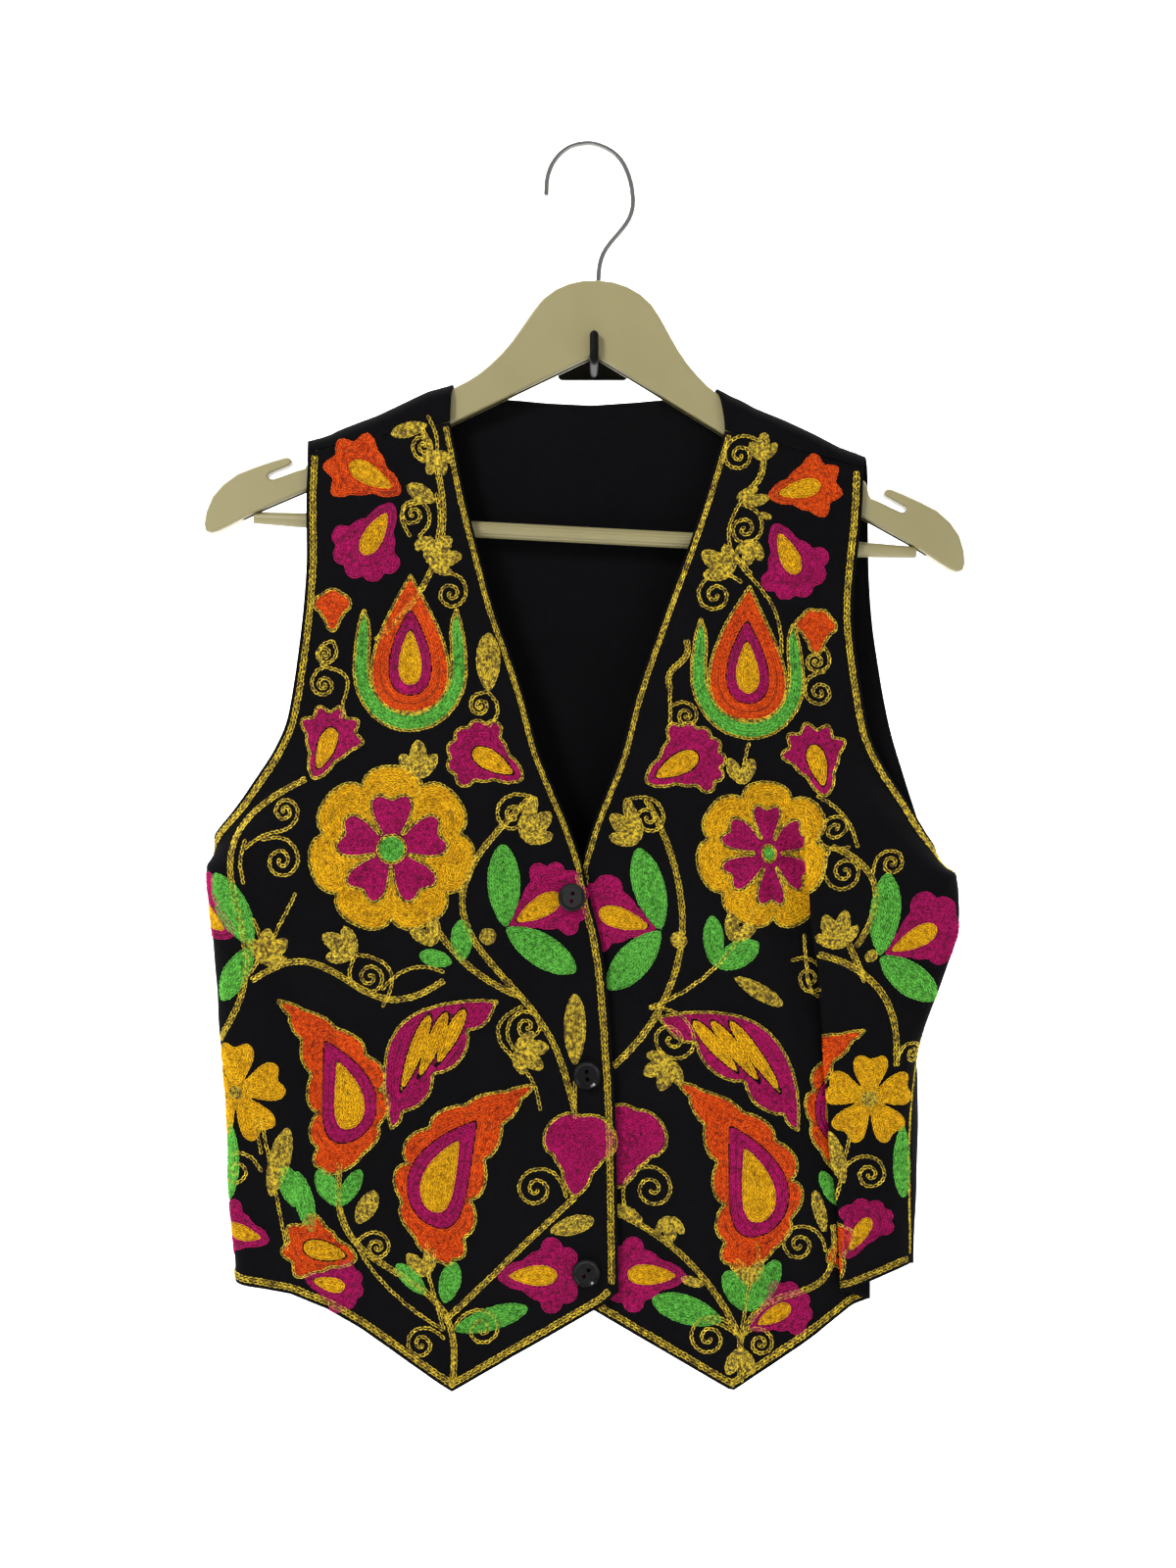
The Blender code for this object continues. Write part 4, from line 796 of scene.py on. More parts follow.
@dataclass(frozen=True)
class Scroll:
    """A curl: a line wound in from its outer end to its centre.

    The radius shrinks evenly with the angle; lead is a point that the curl leaves.
    """

    centre: tuple
    radius: float
    start: float              # direction of its outer end, degrees
    turns: float = 1.7        # negative winds clockwise
    lead: tuple = ()

    def path(self) -> np.ndarray:
        """Points from the lead inwards."""
        t = np.linspace(0.0, 1.0, 90)
        turn = math.radians(self.start) + 2.0 * math.pi * self.turns * t
        radius = self.radius * (1.0 - 0.9 * t**0.85)
        curl = np.array(self.centre) + radius[:, None] * np.stack([np.cos(turn), np.sin(turn)], 1)
        if not self.lead:
            return curl
        way = np.linspace(0.0, 1.0, 12, endpoint=False)[:, None]
        tangent = (curl[1] - curl[0]) / np.hypot(*(curl[1] - curl[0]))
        start = np.array(self.lead, dtype=float)
        elbow = curl[0] - tangent * np.hypot(*(curl[0] - start)) * 0.5
        lead = (1 - way) ** 2 * start + 2 * way * (1 - way) * elbow + way**2 * curl[0]
        return np.concatenate([lead, curl])


# proportions of the motifs, over their length or radius unless a unit is given
FAN_STEP = 36.0               # degrees between the petals of a sprig of 3 or more
PAIR_STEP = 50.0              # degrees between the petals of a pair
SPRIG_PLUMP = 0.46            # width of a sprig's petal
CURL_REACH = 1.5              # from a curl's root to its centre
CURL_TURNS = 1.8
PROFILE_MIDDLE = 0.55         # from a flower's base to its middle
PROFILE_REACH = 0.45          # from its middle to its petals' tips
PROFILE_CORE = 0.3            # radius of its middle
PROFILE_FAN = 190.0           # degrees that its petals span
LEAF_SPREAD = 62.0            # degrees from its axis to a leaf at its base
PAISLEY_SHELLS = (            # thread, its two ends along the spine, width, tip power, scallops
    (Thread.ORANGE, 0.0, 1.0, 0.47, 1.0, 15), (Thread.MAGENTA, 0.14, 0.7, 0.3, 0.95, 0),
    (Thread.YELLOW, 0.2, 0.58, 0.17, 0.95, 0))
BUD_SHELLS = (                # the same for the bud in a tulip
    (Thread.ORANGE, 0.0, 1.0, 0.56, 1.1, 0), (Thread.MAGENTA, 0.13, 0.75, 0.3, 1.0, 0),
    (Thread.YELLOW, 0.2, 0.62, 0.17, 1.0, 0))
WING_BOW = 0.17


def toward(start: tuple, heading: float, length: float) -> tuple:
    """The point that lies a length from another, in a heading in degrees."""
    turn = math.radians(heading)
    return start[0] + length * math.cos(turn), start[1] + length * math.sin(turn)


def leaf(thread: Thread, base: tuple, heading: float, length: float,
         plump: float = 0.4) -> Figure:
    """A leaf of one thread; plump is its width over its length."""
    tip = toward(base, heading, length)
    return Figure((Petal(thread, base, tip, plump * length, 0.75, 0.65),))


def sprig(base: tuple, heading: float, size: float, petals: int = 3) -> tuple:
    """Small gold petals fanned evenly from one base."""
    step = PAIR_STEP if petals < 3 else FAN_STEP
    return tuple(leaf(Thread.GOLD, base, heading + (k - 0.5 * (petals - 1)) * step,
                      size * (1.15 - 0.12 * abs(2 * k - petals + 1)), SPRIG_PLUMP)
                 for k in range(petals))


def curl(root: tuple, heading: float, radius: float, hand: int) -> Scroll:
    """A curl that leaves its root in a heading and winds in, to the left if hand is 1."""
    centre = toward(root, heading, CURL_REACH * radius)
    return Scroll(centre, radius, heading - 90.0 * hand, CURL_TURNS * hand, root)


def vine(start: tuple, end: tuple, bow: float = 0.0, sway: float = 0.0,
         rows: int = 1) -> Stem:
    """A stem between two points, bowed to one side and swayed to both (over its length)."""
    first, length, along, left = axis_frame(start, end)
    s = np.linspace(0.0, 1.0, 25)
    across = length * (4.0 * bow * s * (1.0 - s) + sway * np.sin(2.0 * math.pi * s))
    line = first + along * (s * length)[:, None] + left * across[:, None]
    return Stem(tuple(map(tuple, line)), rows)


def rosette(thread: Thread, centre: tuple, radius: float, petals: int, core: float = 0.76,
            cleft: float = 0.0) -> Bloom:
    """A flower seen from its face, with even petals; core is its middle over its radius."""
    step = 360.0 / petals
    half, power = (0.45 * step, 5.0) if cleft else (0.52 * step, 3.0)
    lobes = tuple((*toward(centre, 90.0 + k * step, radius), half, power, cleft)
                  for k in range(petals))
    return Bloom(thread, centre, (core * radius, core * radius), lobes)


def eye(thread: Thread, centre: tuple, radius: float) -> Bloom:
    """A round spot."""
    return Bloom(thread, centre, (radius, radius), ())


def profile(thread: Thread, base: tuple, heading: float, size: float, petals: int = 5,
            leaves: int = 0, sharp: bool = False, edged: bool = False,
            drop: bool = True) -> Figure:
    """A flower seen from its side: a pointed base and petals fanned evenly from it.

    Args:
        thread: Its petals' thread.
        base: The point that it grows from.
        heading: The way it faces, in degrees.
        size: Its length from base to petals.
        petals: Their number.
        leaves: Green leaves at its base: none, or 2.
        sharp: Whether its petals are pointed.
        edged: Whether it has a gold row along its edge.
        drop: Whether it has a yellow drop.

    Returns:
        The flower with its drop and its leaves.
    """
    middle = toward(base, heading, PROFILE_MIDDLE * size)
    step = PROFILE_FAN / petals
    lobes = tuple((*toward(middle, heading + (k - 0.5 * (petals - 1)) * step,
                           PROFILE_REACH * size), 0.6 * step, 1.1 if sharp else 2.2)
                  for k in range(petals))
    fills = [Bloom(thread, middle, (PROFILE_CORE * size,) * 2, ((*base, 34.0, 1.1), *lobes))]
    if drop:
        fills.append(Petal(Thread.YELLOW, toward(base, heading, 0.7 * size),
                           toward(base, heading, 0.12 * size), 0.24 * size, 0.5, 0.9))
    for side in (-1, 1)[:leaves]:
        tip = toward(base, heading + LEAF_SPREAD * side, 0.92 * size)
        fills.append(Petal(Thread.GREEN, base, tip, 0.36 * size, 0.8, 0.7))
    return Figure(tuple(fills), edged=(0,) if edged else ())


def nested(base: tuple, heading: float, length: float, bow: float, shells: tuple,
           edged: tuple = (0,)) -> Figure:
    """Drops one inside another along one bowed spine.

    Args:
        base: The round end's place.
        heading: The way its tip points, in degrees.
        length: Its length.
        bow: Sideways push of the spine's middle, over the length, to the left.
        shells: For each drop its thread, its two ends along the spine, its width over
            the length, its power at the tip, and its scallops.
        edged: Which drops have a gold row along their edge.

    Returns:
        The figure.
    """
    start, _, along, left = axis_frame(base, toward(base, heading, length))
    fills = []
    for thread, low, high, wide, far, lobes in shells:
        ends = [tuple(start + length * (along * s + left * 4.0 * bow * s * (1.0 - s)))
                for s in (low, high)]
        fills.append(Petal(thread, *ends, wide * length, 0.45, far,
                           bend=bow * length * (high - low) ** 2, lobes=lobes,
                           depth=0.06 * length if lobes else 0.0))
    return Figure(tuple(fills), edged=edged)


def paisley(base: tuple, heading: float, length: float, bow: float) -> Figure:
    """An orange scalloped paisley round a magenta and a yellow drop."""
    return nested(base, heading, length, bow, PAISLEY_SHELLS)


def tulip(base: tuple, height: float) -> tuple:
    """An upright bud of nested drops in a green cup, its leaves open at the top."""
    middle = toward(base, 90.0, 0.4 * height)
    cup = Figure((Cup(Thread.GREEN, middle, 0.34 * height, 0.37 * height, 0.66 * height,
                      124.0, 0.1 * height),), edged=(0,))
    bud = nested(toward(base, 90.0, 0.14 * height), 90.0, 0.84 * height, 0.0, BUD_SHELLS)
    return bud, cup


def wing(base: tuple, heading: float, length: float, hand: int) -> Figure:
    """A bowed magenta petal, scalloped on one side, with three yellow drops across it."""
    start, _, along, left = axis_frame(base, toward(base, heading, length))
    bow = -WING_BOW * hand
    turned = Turned.LEFT if hand > 0 else Turned.RIGHT
    fills = [Petal(Thread.MAGENTA, base, toward(base, heading, length), 0.44 * length, 1.0, 1.0,
                   bend=bow * length, lobes=9, depth=0.1 * length, turned=turned)]
    for k in range(3):
        ends = [tuple(start + length * (along * s + left * hand * across))
                for s, across in ((0.84 - 0.08 * k, -0.13 - 0.07 * k),
                                  (0.46 - 0.13 * k, -0.04 - 0.03 * k))]
        fills.append(Petal(Thread.YELLOW, *ends, 0.085 * length, 0.6, 0.9))
    return Figure(tuple(fills), edged=(0,))


def drawn(points: np.ndarray, spacing: float, closed: bool) -> np.ndarray:
    """Evenly spaced points along a line of points; a closed one ends where it starts."""
    if closed:
        points = np.concatenate([points, points[:1]])
    run = np.concatenate([[0.0], np.cumsum(np.linalg.norm(np.diff(points, axis=0), axis=1))])
    count = max(int(round(run[-1] / spacing)), 2)
    at = np.linspace(0.0, run[-1], count + 1)
    return np.stack([np.interp(at, run, points[:, k]) for k in range(2)], 1)


def rounded(points: tuple, passes: int = 10) -> np.ndarray:
    """Smooth line through points: evenly drawn, then averaged with its neighbours."""
    line = drawn(np.array(points, dtype=float), 1.0, False)
    for _ in range(passes):
        line[1:-1] = 0.25 * line[:-2] + 0.5 * line[1:-1] + 0.25 * line[2:]
    return line


def beside(line: np.ndarray, offset: float, closed: bool = False) -> np.ndarray:
    """The line moved sideways, to its left, by an offset."""
    if closed:
        along = np.roll(line, -1, axis=0) - np.roll(line, 1, axis=0)
    else:
        along = np.gradient(line, axis=0)
    along /= np.linalg.norm(along, axis=1)[:, None]
    return line + offset * np.stack([-along[:, 1], along[:, 0]], 1)


def inside(points: np.ndarray, ring: np.ndarray) -> np.ndarray:
    """Whether each point is inside a closed outline, by counting crossings to its right."""
    a, b = ring, np.roll(ring, -1, axis=0)
    x, y = points[:, :1], points[:, 1:]
    spans = (a[:, 1] > y) != (b[:, 1] > y)
    rise = np.where(b[:, 1] == a[:, 1], 1.0, b[:, 1] - a[:, 1])
    cross = a[:, 0] + (y - a[:, 1]) * (b[:, 0] - a[:, 0]) / rise
    return np.logical_and(spans, x < cross).sum(1) % 2 == 1


def distance(points: np.ndarray, ring: np.ndarray) -> np.ndarray:
    """Distance of each point to a closed outline: the nearest of all its edges."""
    a = ring
    run = np.roll(ring, -1, axis=0) - a
    size = np.maximum((run**2).sum(1), 1e-9)
    gap = points[:, None] - a[None]
    t = np.clip((gap * run).sum(-1) / size, 0.0, 1.0)
    return np.sqrt(((gap - t[..., None] * run) ** 2).sum(-1).min(1))


def level_lines(field_: np.ndarray, x: np.ndarray, y: np.ndarray, level: float) -> list:
    """Closed lines where a gridded field crosses a level (marching squares).

    Args:
        field_: Values on rows y and columns x.
        x: Column places.
        y: Row places.
        level: The value to follow.

    Returns:
        Lists of points, one array for each line.
    """
    rows, columns = field_.shape
    up = field_ > level
    ends = {}
    crossings = {}

    def crossing(j: np.ndarray, i: np.ndarray, step_j: int, step_i: int) -> np.ndarray:
        """Where the level falls between two grid points."""
        low, high = field_[j, i], field_[j + step_j, i + step_i]
        t = (level - low) / np.where(high == low, 1.0, high - low)
        return np.stack([x[i] + t * (x[i + step_i] - x[i]), y[j] + t * (y[j + step_j] - y[j])], -1)

    j, i = np.nonzero(up[:, :-1] != up[:, 1:])
    for key, point in zip((j * columns + i).tolist(), crossing(j, i, 0, 1).tolist()):
        crossings[key] = point
    j, i = np.nonzero(up[:-1] != up[1:])
    shift = rows * columns
    for key, point in zip((shift + j * columns + i).tolist(), crossing(j, i, 1, 0).tolist()):
        crossings[key] = point
    cell = up[:-1, :-1].astype(int) + 2 * up[:-1, 1:] + 4 * up[1:, 1:] + 8 * up[1:, :-1]
    j, i = np.nonzero((cell > 0) & (cell < 15))
    south, west = j * columns + i, shift + j * columns + i
    sides = np.stack([south, west + 1, south + columns, west], 1).tolist()
    pairs = {1: ((0, 3),), 2: ((0, 1),), 3: ((1, 3),), 4: ((1, 2),), 5: ((0, 3), (1, 2)),
             6: ((0, 2),), 7: ((2, 3),), 8: ((2, 3),), 9: ((0, 2),), 10: ((0, 1), (2, 3)),
             11: ((1, 2),), 12: ((1, 3),), 13: ((0, 1),), 14: ((0, 3),)}
    for edges, kind in zip(sides, cell[j, i].tolist()):
        for one, two in pairs[kind]:
            ends.setdefault(edges[one], []).append(edges[two])
            ends.setdefault(edges[two], []).append(edges[one])
    lines = []
    while ends:
        start = next(iter(ends))
        line, here = [crossings[start]], start
        while ends.get(here):
            onward = ends[here].pop()
            ends[onward].remove(here)
            if not ends[here]:
                del ends[here]
            here = onward
            line.append(crossings[here])
        ends.pop(here, None)
        if len(line) > 5:
            lines.append(np.array(line[:-1]))
    return lines


@dataclass
class Sewing:
    """Chain rows waiting to be made: ends of each link, and its width, by thread."""

    starts: dict = field(default_factory=dict)
    stops: dict = field(default_factory=dict)
    widths: dict = field(default_factory=dict)
    lifts: dict = field(default_factory=dict)
    grounds: dict = field(default_factory=dict)

    def row(self, thread: Thread, line: np.ndarray, width: float, pitch: float,
            closed: bool = False, lift: float = 0.0) -> None:
        """Add one chain row along a line."""
        points = drawn(line, pitch, closed)
        for store, values in ((self.starts, points[:-1]), (self.stops, points[1:]),
                              (self.widths, np.full(len(points) - 1, width)),
                              (self.lifts, np.full(len(points) - 1, lift))):
            store.setdefault(thread, []).append(values)

    def gathered(self, thread: Thread) -> tuple:
        """All links of one thread as whole arrays."""
        return tuple(np.concatenate(store[thread]) for store in
                     (self.starts, self.stops, self.widths, self.lifts))


@dataclass
class Embroiderer:
    """Lays the figures, stems and scrolls of a design as chain rows on the flat cut."""

    fill_row: float = 1.7     # width of a filling row
    fill_pitch: float = 2.65  # length of a filling link
    edge_row: float = 1.9     # width of a gold row round a fill
    line_row: float = 2.3     # width of a gold row
    line_pitch: float = 2.85  # length of a gold link
    grid: float = 0.5         # spacing of the distance grid

    def fill(self, sewing: Sewing, shape: object, above: list, edged: bool) -> None:
        """Fill an outline with rows at even distances from its nearest edge.

        Args:
            sewing: Where the rows go.
            shape: The petal, bloom or cup.
            above: Outlines that lie on it and stay clear.
            edged: Whether a gold row goes round it.
        """
        ring = drawn(shape.outline(), 0.9, True)[:-1]
        low, high = ring.min(0) - 1.5, ring.max(0) + 1.5
        x = np.arange(low[0], high[0], self.grid)
        y = np.arange(low[1], high[1], self.grid)
        points = np.stack(np.meshgrid(x, y), -1).reshape(-1, 2)
        depth = distance(points, ring) * np.where(inside(points, ring), 1.0, -1.0)
        for other in above:
            gap = distance(points, other) * np.where(inside(points, other), -1.0, 1.0)
            depth = np.minimum(depth, gap)
        depth = depth.reshape(len(y), len(x))
        self.painted_shade_ground(sewing, shape.thread, depth, x, y)
        rim = 0.0
        if edged:
            sewing.row(Thread.GOLD, ring, self.edge_row, self.fill_pitch, True, 0.12)
            rim = 0.5 * self.edge_row
        room = depth.max() - rim
        rows = max(round(room / self.fill_row), 1)
        step = room / rows
        for k in range(rows):
            level = rim + (k + 0.5) * step
            for line in level_lines(depth, x, y, level):
                sewing.row(shape.thread, line, 1.04 * step, self.fill_pitch, True,
                           0.28 * min(level / 6.0, 1.0))

    def painted_shade_ground(self, sewing: Sewing, thread: Thread, depth: np.ndarray, x: np.ndarray,
               y: np.ndarray) -> None:
        """Keep the grid cells inside a fill: the thread between its rows, in painted shade."""
        coarse = depth[::2, ::2] > -0.1
        whole = coarse[:-1, :-1] & coarse[1:, :-1] & coarse[:-1, 1:] & coarse[1:, 1:]
        j, i = np.nonzero(whole)
        x, y = x[::2], y[::2]
        corners = [(x[i], y[j]), (x[i + 1], y[j]), (x[i + 1], y[j + 1]), (x[i], y[j + 1])]
        quads = np.stack([np.stack(corner, -1) for corner in corners], 1)
        sewing.grounds.setdefault(thread, []).append(quads)

    def lay(self, design: tuple) -> Sewing:
        """Lay a whole design."""
        sewing = Sewing()
        for item in design:
            if isinstance(item, Figure):
                rings = [drawn(shape.outline(), 1.0, True)[:-1] for shape in item.fills]
                for k, shape in enumerate(item.fills):
                    self.fill(sewing, shape, rings[k + 1:], k in item.edged)
            elif isinstance(item, Stem):
                line = rounded(item.points)
                width = self.line_row if item.rows == 1 else self.edge_row
                for k in range(item.rows):
                    offset = (k - 0.5 * (item.rows - 1)) * 0.96 * width
                    sewing.row(Thread.GOLD, beside(line, offset), width, self.line_pitch)
            else:
                sewing.row(Thread.GOLD, item.path(), self.line_row, self.line_pitch)
        return sewing

    def trim(self, sewing: Sewing, line: np.ndarray, offsets: tuple, width: float) -> None:
        """Sew gold rows along an edge, each at its own offset inwards."""
        for offset in offsets:
            sewing.row(Thread.GOLD, beside(line, offset), width, self.line_pitch, False, 0.1)

    def stitch(self, sewing: Sewing, thread: Thread, front: Front,
               materials: tuple) -> None:
        """Make one thread's links on a front, over the ground seen between them.

        Each link is two strands bowed apart: a low ridged profile of three points is
        carried along four stations from the link's narrow start to its wide end.
        """
        starts, stops, widths, lifts = sewing.gathered(thread)
        count = len(starts)
        rng = np.random.default_rng(7 + 31 * list(Thread).index(thread) + 5 * front.side)
        run = stops - starts
        length = np.maximum(np.linalg.norm(run, axis=1), 1e-6)
        along = run / length[:, None]
        left = np.stack([-along[:, 1], along[:, 0]], 1)
        width = widths * rng.uniform(0.92, 1.08, count)
        tall = rng.uniform(0.85, 1.15, count)
        shift = rng.normal(0.0, 0.05, count) * widths
        station = np.array([-0.14, 0.28, 0.72, 1.04])
        bow = np.array([0.10, 0.325, 0.335, 0.12])
        rise = np.array([0.26, 0.62, 0.66, 0.36])
        half = np.array([0.12, 0.155, 0.155, 0.13])
        strand = np.array([-1.0, 1.0])
        profile = np.array([-1.0, 0.0, 1.0])
        crest = np.array([0.0, 1.0, 0.0])
        across = (strand[None, :, None, None] * bow[None, None, :, None]
                  + profile[None, None, None, :] * half[None, None, :, None])
        across = across * width[:, None, None, None] + shift[:, None, None, None]
        onward = station[None, None, :, None] * length[:, None, None, None]
        onward = np.broadcast_to(onward, across.shape)
        height = (crest[None, None, None, :] * rise[None, None, :, None]
                  * (tall * np.clip(widths / 1.8, 0.8, 1.15))[:, None, None, None])
        height = np.broadcast_to(height, across.shape) + lifts[:, None, None, None]
        flat = (starts[:, None, None, None] + onward[..., None] * along[:, None, None, None]
                + across[..., None] * left[:, None, None, None])
        flat = flat.reshape(-1, 2)
        verts = front.place(flat, WALL / 2 - 0.05 + height.reshape(-1))
        cell = grid_cells(4, 3)
        base = np.arange(count * 2)[:, None, None] * 12
        faces = (base + cell[None]).reshape(-1, 4)
        if front.side > 0:
            faces = faces[:, ::-1]
        quads = np.concatenate(sewing.grounds[thread])
        under = front.place(quads.reshape(-1, 2), WALL / 2 + 0.07)
        index = len(verts) + np.arange(len(under)).reshape(-1, 4)[:, ::-front.side]
        links = len(faces)
        piece = new_piece(f"sewn_{thread.value}_{front.name}", np.concatenate([verts, under]),
                          np.concatenate([faces, index]), materials[0])
        # second slot, for the ground under the links: the darkened copy, painted shade
        piece.data.materials.append(materials[1])
        slots = np.zeros(links + len(index), np.int32)
        slots[links:] = 1
        piece.data.polygons.foreach_set("material_index", slots)
        log.info("%s: %d links, %d triangles", piece.name, count, 2 * len(slots))


# ---- the design, on the flat cut: distance from the centre front, height ----
MAGENTA, ORANGE, YELLOW, GREEN, GOLD = Thread
RIGHT_DESIGN = (
    *sprig((115, -250), 90, 20), vine((115, -245), (115, -260)),
    vine((180, -250), (230, -400), 0.1, 0.1, rows=2), vine((215, -285), (215, -310), 0.1),
    vine((210, -330), (215, -365), -0.2), vine((215, -290), (195, -280), -0.1),
    curl((195, -280), 105, 8, -1), curl((205, -285), 225, 11, 1), *sprig((205, -355), 120, 20, 4),
    vine((205, -355), (185, -315)), *sprig((150, -350), 30, 20), curl((150, -350), 240, 10, -1),
    vine((150, -350), (135, -380), -0.4), vine((210, -365), (100, -365), 0, -0.1, rows=2),
    vine((135, -370), (100, -360), -0.2), leaf(GREEN, (95, -355), 15, 20, 0.5),
    leaf(GREEN, (90, -355), 90, 25, 0.5), *sprig((105, -345), 60, 17.5, 2),
    vine((110, -325), (55, -375), 0.1, rows=2), leaf(GOLD, (55, -285), 105, 27.5, 0.3),
    *sprig((55, -285), 135, 20), vine((50, -260), (25, -440), 0.2, 0.1, rows=2),
    curl((50, -260), 315, 10, -1), Figure((eye(GOLD, (75, -340), 5),)),
    profile(MAGENTA, (65, -335), 150, 52.5, 6, leaves=2), wing((130, -450), 130, 95, 1),
    paisley((160, -475), 70, 105, 0.2), paisley((105, -525), 120, 115, -0.2),
    Figure((rosette(YELLOW, (220, -430), 30, 5, 0.3, 0.2), eye(GOLD, (220, -430), 4))),
    vine((205, -445), (190, -520)), vine((210, -440), (205, -465)),
    leaf(GOLD, (200, -490), 105, 42.5, 0.3), curl((205, -475), 0, 10, -1),
    leaf(GREEN, (225, -445), 270, 47.5, 0.3), curl((60, -405), 120, 10, 1),
    vine((55, -380), (60, -410), 0.4), *sprig((60, -405), 195, 20, 4),
    vine((60, -410), (45, -440), -0.1), leaf(GOLD, (25, -415), 90, 42.5, 0.3),
    profile(MAGENTA, (25, -490), 95, 50, 2, edged=True, drop=False), vine((25, -420), (25, -445)),
    curl((30, -490), 15, 12, -1), vine((25, -490), (100, -560), rows=2),
    leaf(GOLD, (40, -510), 165, 27.5), profile(MAGENTA, (70, -535), 180, 50),
    leaf(GREEN, (95, -565), 165, 45, 0.3), curl((95, -565), 180, 11, 1),
    curl((100, -570), 345, 9, -1), vine((160, -470), (95, -595), 0, 0.1, rows=2),
    vine((160, -495), (100, -565), 0.1), vine((110, -530), (100, -565)),
    vine((110, -515), (110, -530)), *sprig((110, -535), 75, 17.5, 2), vine((95, -565), (95, -590)),
    leaf(GREEN, (110, -545), 45, 25), leaf(GREEN, (100, -550), 105, 25, 0.5),
    leaf(GREEN, (185, -495), 75, 25, 0.5), leaf(GREEN, (175, -510), 75, 37.5, 0.3),
    leaf(GREEN, (160, -495), 60, 25, 0.5), leaf(GREEN, (160, -495), 120, 25),
    leaf(GOLD, (150, -505), 120, 22.5, 0.5), curl((150, -515), 195, 8, 1),
    profile(ORANGE, (150, -525), 15, 45, 4, sharp=True, edged=True),
    profile(MAGENTA, (200, -515), 15, 40), profile(MAGENTA, (180, -535), 195, 35),
    leaf(GOLD, (110, -45), 345, 22.5), vine((110, -40), (105, -65), -0.1),
    curl((105, -65), 45, 7, 1), *sprig((105, -60), 270, 15, 4),
    vine((115, -45), (140, -170), -0.2, rows=2), vine((105, -85), (110, -125), -0.1),
    profile(ORANGE, (125, -85), 30, 50, 4, sharp=True), profile(MAGENTA, (130, -90), 300, 50),
    leaf(GOLD, (105, -90), 30, 20, 0.5), vine((110, -90), (120, -110), 0.5),
    curl((115, -110), 75, 9, -1), *sprig((115, -110), 240, 10), *sprig((110, -125), 150, 20, 4),
    curl((100, -130), 255, 9, 1), profile(ORANGE, (165, -165), 90, 25, 3, edged=True, drop=False),
    curl((165, -170), 300, 6, 1), vine((165, -170), (170, -185), 0.4),
    curl((170, -185), 270, 7, -1), vine((170, -185), (160, -215), -0.3, -0.1),
    *tulip((120, -225), 95), leaf(GOLD, (75, -200), 90, 35), curl((75, -200), 300, 6, -1),
    vine((75, -200), (75, -220), -0.3), profile(MAGENTA, (55, -250), 30, 47.5, 6, edged=True),
    profile(MAGENTA, (175, -250), 110, 45, sharp=True, edged=True),
    Figure((rosette(YELLOW, (130, -290), 47.5, 7), rosette(MAGENTA, (130, -290), 32.5, 5, 0.3, 0.2),
            eye(GREEN, (130, -290), 8)), edged=(0, 1, 2)),
    leaf(GREEN, (210, -345), 60, 47.5), leaf(GREEN, (210, -345), 300, 37.5),
    profile(MAGENTA, (220, -340), 30, 52.5, 6),
)

